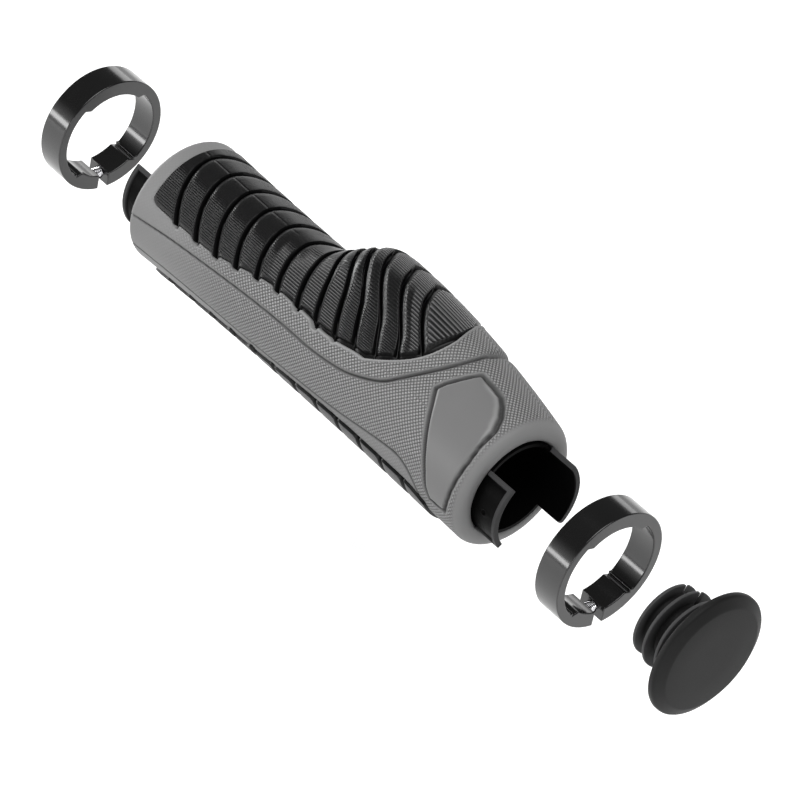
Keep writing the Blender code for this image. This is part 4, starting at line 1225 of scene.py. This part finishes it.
def link_bump(tree, shader, height, distance, strength=1.0, before=None):
    """A Bump node from a height in share of distance, linked to the shader's normal."""
    bump = add(tree, "ShaderNodeBump", Strength=strength, Distance=distance)
    tree.links.new(height, bump.inputs["Height"])
    if before:
        tree.links.new(before, bump.inputs["Normal"])
    tree.links.new(bump.outputs["Normal"], shader.inputs["Normal"])
    return bump.outputs["Normal"]


def link_roughness(tree, shader, speckle, spread, base):
    """A roughness that the moulded grain varies by a spread over its base, linked to the shader."""
    rough = maths(tree, "ADD", maths(tree, "MULTIPLY", speckle.outputs["Height"], spread), base)
    tree.links.new(rough, shader.inputs["Roughness"])


def mask(tree, name):
    """A share that is stored on the mesh."""
    return add(tree, "ShaderNodeAttribute", {"attribute_name": name}).outputs["Fac"]


def grey_rubber(grain, knurl):
    """Grey rubber with a fading knurl of dots and smooth bands; its colour has painted shade in the knurl's
    pits, the pressed lines and the panel's groove, and painted highlights on the dots' tops, the panel's
    bevel and the lip.
    """
    material, tree, shader, place_on = start_material("grey_rubber")
    uv = add(tree, "ShaderNodeUVMap", {"uv_map": "skin"}).outputs["UV"]
    dots = use_group(tree, knurl, uv, Pitch=KNURL_PITCH / MM)
    speckle = use_group(tree, grain, place_on, Grain_Scale=3200.0, Stain_Scale=55.0)
    strength = mask(tree, "knurl")
    pillow = maths(tree, "MULTIPLY", dots.outputs["Height"], strength)
    # Painted shade: the pits between the knurl's dots are darkened in the colour.
    knurl_pit_shade = maths(tree, "SUBTRACT", strength, pillow)
    tint = mix_colours(tree, knurl_pit_shade, grey(0.21), grey(0.05))
    # Painted highlight: the tops of the knurl's dots are lightened in the colour.
    tint = lay_over(tree, tint, maths(tree, "POWER", pillow, 2.0), 0.75, grey(0.42))
    tint = lay_over(tree, tint, speckle.outputs["Stain"], 0.16, grey(0.17))
    # The groove share darkens the pressed lines and the panel's groove as painted shade; shine lightens the
    # panel's bevel and the lip as a painted highlight.
    for name, amount, level in (("panel", 0.6, 0.115), ("shine", 0.6, 0.33), ("groove", 0.9, 0.018)):
        tint = lay_over(tree, tint, mask(tree, name), amount, grey(level))
    tree.links.new(tint, shader.inputs["Base Color"])
    link_roughness(tree, shader, speckle, 0.12,
                   maths(tree, "SUBTRACT", 0.52, maths(tree, "MULTIPLY", mask(tree, "panel"), 0.12)))
    fine = link_bump(tree, shader, speckle.outputs["Height"], 0.03 * MM, 0.5)
    link_bump(tree, shader, pillow, 0.3 * MM, 1.0, fine)
    shader.inputs["Specular IOR Level"].default_value = 0.4
    return material


def black_rubber(grain, ridges):
    """Black pad rubber: satin rib tops, fine ridges and a leather grain, with painted shade on the groove
    floors and between the ridges, and painted highlights on the ridge tops and the ribs' first chamfers.
    """
    material, tree, shader, place_on = start_material("black_rubber")
    uv = add(tree, "ShaderNodeUVMap", {"uv_map": "skin"}).outputs["UV"]
    ridge = use_group(tree, ridges, uv, Pitch=RIDGE_PITCH / MM, Seam_Width=SEAM_WIDTH / MM)
    speckle = use_group(tree, grain, place_on, Grain_Scale=2600.0, Stain_Scale=70.0)
    above_floor = maths(tree, "SUBTRACT", maths(tree, "MULTIPLY", mask(tree, "rise"), 2.4), 0.8, True)
    on_top = maths(tree, "MULTIPLY", mask(tree, "lines"), above_floor)
    raised = maths(tree, "MULTIPLY", on_top, ridge.outputs["Height"])
    line = maths(tree, "MULTIPLY", mask(tree, "seam"), ridge.outputs["Seam"])
    # Painted shade: groove floors and the end frame are near black, the rib tops a little lighter.
    tint = mix_colours(tree, above_floor, grey(0.001), grey(0.0058, 0.0002))
    # The border share lightens each rib's first chamfer as a painted highlight.
    for share, amount, colour in ((mask(tree, "border"), 0.7, grey(0.026, 0.0005)),
                                  (speckle.outputs["Stain"], 0.35, grey(0.005, 0.0002)),
                                  # Painted shade between the fine ridges and a painted highlight on their
                                  # tops.
                                  (maths(tree, "SUBTRACT", on_top, raised), 0.9, grey(0.0015)),
                                  (maths(tree, "POWER", raised, 5.0), 0.9, grey(0.16, 0.002)),
                                  (line, 1.0, grey(0.001))):
        tint = lay_over(tree, tint, share, amount, colour)
    tree.links.new(tint, shader.inputs["Base Color"])
    link_roughness(tree, shader, speckle, 0.16, 0.27)
    hide = add(tree, "ShaderNodeTexVoronoi", {"feature": "SMOOTH_F1"}, Scale=1700.0, Smoothness=0.6)
    tree.links.new(place_on, hide.inputs["Vector"])
    cells = maths(tree, "MULTIPLY", hide.outputs["Distance"],
                  maths(tree, "ADD", maths(tree, "MULTIPLY", mask(tree, "hide"), 0.7), 0.3))
    leather = maths(tree, "ADD", cells, maths(tree, "MULTIPLY", speckle.outputs["Height"], 0.5))
    fine = link_bump(tree, shader, leather, 0.06 * MM, 0.7)
    ribbed = maths(tree, "SUBTRACT", raised, maths(tree, "MULTIPLY", line, 0.3))
    link_bump(tree, shader, ribbed, 0.26 * MM, 1.0, fine)
    shader.inputs["Specular IOR Level"].default_value = 0.26
    return material


def moulded_plastic(name, level, roughness, gloss, grain, grain_scale):
    """Black moulded plastic with a fine spark-eroded texture, and rims lightened as a painted highlight."""
    material, tree, shader, place_on = start_material(name)
    speckle = use_group(tree, grain, place_on, Grain_Scale=grain_scale, Stain_Scale=90.0)
    tint = mix_colours(tree, speckle.outputs["Stain"], grey(0.75 * level), grey(1.25 * level))
    # Painted highlight on the rims, from the rim mask.
    tint = mix_colours(tree, mask(tree, "rim"), tint, grey(0.055, 0.001))
    tree.links.new(tint, shader.inputs["Base Color"])
    link_roughness(tree, shader, speckle, 0.15, roughness)
    link_bump(tree, shader, speckle.outputs["Height"], 0.03 * MM, 0.45)
    shader.inputs["Specular IOR Level"].default_value = gloss
    return material


def black_anodised(grain):
    """Black anodised aluminium: glossy round its rim, satin with turning marks on its faces."""
    material, tree, shader, place_on = start_material("black_anodised")
    speckle = use_group(tree, grain, place_on, Grain_Scale=4200.0, Stain_Scale=120.0)
    _, y, z = split_vector(tree, place_on)
    squares = [maths(tree, "MULTIPLY", side, side) for side in (y, z)]
    radius = maths(tree, "POWER", maths(tree, "ADD", *squares), 0.5)
    marks = maths(tree, "SINE", maths(tree, "MULTIPLY", radius, 2.0 * math.pi / TURNING_PITCH))
    facing = split_vector(tree, tree.nodes["Texture Coordinate"].outputs["Normal"])[0]
    face = maths(tree, "POWER", maths(tree, "ABSOLUTE", facing), 4.0)
    wall = mix_colours(tree, speckle.outputs["Stain"], grey(0.004), grey(0.007))
    tree.links.new(mix_colours(tree, face, wall, grey(0.006, 0.0003)), shader.inputs["Base Color"])
    link_roughness(tree, shader, speckle, 0.06, maths(tree, "ADD", maths(tree, "MULTIPLY", face, 0.22), 0.1))
    turned_face = maths(tree, "MULTIPLY", maths(tree, "MULTIPLY", marks, face), 0.3)
    link_bump(tree, shader, maths(tree, "ADD", turned_face, speckle.outputs["Height"]), 0.006 * MM, 0.3)
    shader.inputs["Specular IOR Level"].default_value = 0.75
    return material


def screw_steel(grain):
    """Bright steel with faint darker stains."""
    material, tree, shader, place_on = start_material("screw_steel")
    speckle = use_group(tree, grain, place_on, Grain_Scale=5200.0, Stain_Scale=400.0)
    tint = mix_colours(tree, speckle.outputs["Stain"], grey(0.5, 0.02), grey(0.8, 0.02))
    tree.links.new(tint, shader.inputs["Base Color"])
    link_roughness(tree, shader, speckle, 0.15, 0.18)
    shader.inputs["Metallic"].default_value = 1.0
    link_bump(tree, shader, speckle.outputs["Height"], 0.01 * MM, 0.3)
    return material


def dress(piece, material, body, slot, *nodes):
    """Give a piece its material and its body, and hide the nodes that it stands for; its slot is not used.
    """
    piece.data.materials.clear()
    piece.data.materials.append(material)
    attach(piece, body)
    if nodes:
        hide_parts(*nodes)


def make_pieces():
    """Every visible piece of the grip, with its finish."""
    grain = moulded_grain_group()
    grey = grey_rubber(grain, knurl_group())
    black = black_rubber(grain, ridge_group())
    plastic = moulded_plastic("black_plastic", 0.0018, 0.3, 0.03, grain, 2200.0)
    plug_plastic = moulded_plastic("plug_plastic", 0.0090, 0.45, 0.17, grain, 3600.0)
    anodised = black_anodised(grain)
    steel = screw_steel(grain)
    palm, palm_outline = palm_pad_piece()
    finger, finger_outline = finger_pad_piece()
    dress(palm, black, "grip", "black_rubber", "palm_pad")
    dress(finger, black, "grip", "black_rubber", "finger_pad")
    dress(rubber_body_piece((palm_outline, finger_outline)), grey, "grip", "grey_rubber", "rubber_body")
    dress(sleeve_tube(), plastic, "grip", "black_plastic", "inner_sleeve")
    for end, root, outward in (("outer", BODY_OUTER_FACE, 1.0), ("inner", BODY_INNER_FACE, -1.0)):
        for side, middle in (("near", -90.0), ("far", 90.0)):
            tab = sleeve_tab(f"sleeve_{end}_{side}_tab", root, outward, middle)
            dress(tab, plastic, "grip", "black_plastic", "inner_sleeve")
    for end in ("inner", "outer"):
        ring = clamp_ring(f"{end}_ring_split", f"{end}_clamp_ring")
        dress(ring, anodised, f"{end}_ring", "black_anodised", f"{end}_clamp_ring")
        screw = clamp_screw(f"{end}_screw_threaded", f"{end}_clamp_screw")
        dress(screw, steel, f"{end}_ring", "screw_steel", f"{end}_clamp_screw")
    dress(plug_piece(), plug_plastic, "plug", "plug_plastic", "end_plug")


def seen_rays(tree):
    """1 for what the camera sees, straight, in gloss or through glass, and 0 for other light."""
    rays = tree.nodes.new("ShaderNodeLightPath")
    return maths(tree, "MAXIMUM", rays.outputs["Is Camera Ray"],
                 maths(tree, "MAXIMUM", rays.outputs["Is Glossy Ray"], rays.outputs["Is Transmission Ray"]))


def floor_material():
    """A white floor that keeps the object's shadow."""
    material, tree, shader, _ = start_material("floor_white")
    shader.inputs["Base Color"].default_value = grey(0.8)
    shader.inputs["Roughness"].default_value = 0.9
    glow = add(tree, "ShaderNodeEmission", Strength=FLOOR_GLOW)
    share = tree.nodes.new("ShaderNodeMixShader")
    both = tree.nodes.new("ShaderNodeAddShader")
    tree.links.new(seen_rays(tree), share.inputs["Fac"])
    tree.links.new(shader.outputs[0], both.inputs[0])
    tree.links.new(glow.outputs[0], both.inputs[1])
    tree.links.new(shader.outputs[0], share.inputs[1])
    tree.links.new(both.outputs[0], share.inputs[2])
    tree.links.new(share.outputs[0], tree.nodes["Material Output"].inputs["Surface"])
    return material


def make_floor():
    """A wide white floor below the grip."""
    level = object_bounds()[0][2] - FLOOR_DROP

    def build(bm):
        bmesh.ops.create_grid(bm, x_segments=1, y_segments=1, size=FLOOR_HALF_SIZE,
                              matrix=Matrix.Translation((0.0, 0.0, level)))

    floor = mesh_object("floor", build)
    floor.data.materials.append(floor_material())


def area_light(name, place_at, aim, size, power):
    """A soft oblong lamp that points at a place: size is its width and height."""
    data = bpy.data.lights.new(name, "AREA")
    data.shape = "RECTANGLE"
    data.size, data.size_y = size
    data.energy = power
    lamp = bpy.data.objects.new(name, data)
    bpy.context.scene.collection.objects.link(lamp)
    lamp.location = place_at
    lamp.rotation_euler = (Vector(aim) - Vector(place_at)).to_track_quat("-Z", "Y").to_euler()


def make_light():
    """Plain soft studio lamps, in a room that is white round the floor and darker overhead."""
    for name, place_at, size, power in LAMPS:
        area_light(name, place_at, LAMP_AIM, size, power)
    world = bpy.data.worlds.new("studio")
    bpy.context.scene.world = world
    world.use_nodes = True
    tree = world.node_tree
    room = tree.nodes["Background"]
    room.inputs["Color"].default_value = grey(1.0)
    overhead = add(tree, "ShaderNodeMapRange", {"interpolation_type": "SMOOTHSTEP"}, From_Min=0.12,
                   From_Max=0.5, To_Min=1.0, To_Max=ROOM_OVERHEAD)
    height = split_vector(tree, tree.nodes.new("ShaderNodeTexCoord").outputs["Generated"])[2]
    tree.links.new(height, overhead.inputs["Value"])
    share = tree.nodes.new("ShaderNodeMix")
    tree.links.new(seen_rays(tree), share.inputs[0])
    share.inputs[2].default_value = ROOM_LIGHT
    tree.links.new(overhead.outputs["Result"], share.inputs[3])
    tree.links.new(share.outputs[0], room.inputs["Strength"])


def make_camera():
    """A long lens at the photograph's angle, rolled as the photograph is."""
    data = bpy.data.cameras.new("photo_camera")
    data.sensor_fit = "HORIZONTAL"
    data.sensor_width = CAMERA_SENSOR
    data.lens = CAMERA_LENS
    data.clip_end = 20.0
    camera = bpy.data.objects.new("photo_camera", data)
    bpy.context.scene.collection.objects.link(camera)
    camera.location = CAMERA_PLACE
    look = (Vector(CAMERA_AIM) - Vector(CAMERA_PLACE)).to_track_quat("-Z", "Y").to_matrix().to_4x4()
    spin = look @ Matrix.Rotation(math.radians(CAMERA_ROLL), 4, "Z")
    camera.rotation_euler = spin.to_euler()
    bpy.context.scene.camera = camera


make_camera()
make_pieces()
make_floor()
make_light()
bpy.context.scene.view_settings.view_transform = "Standard"
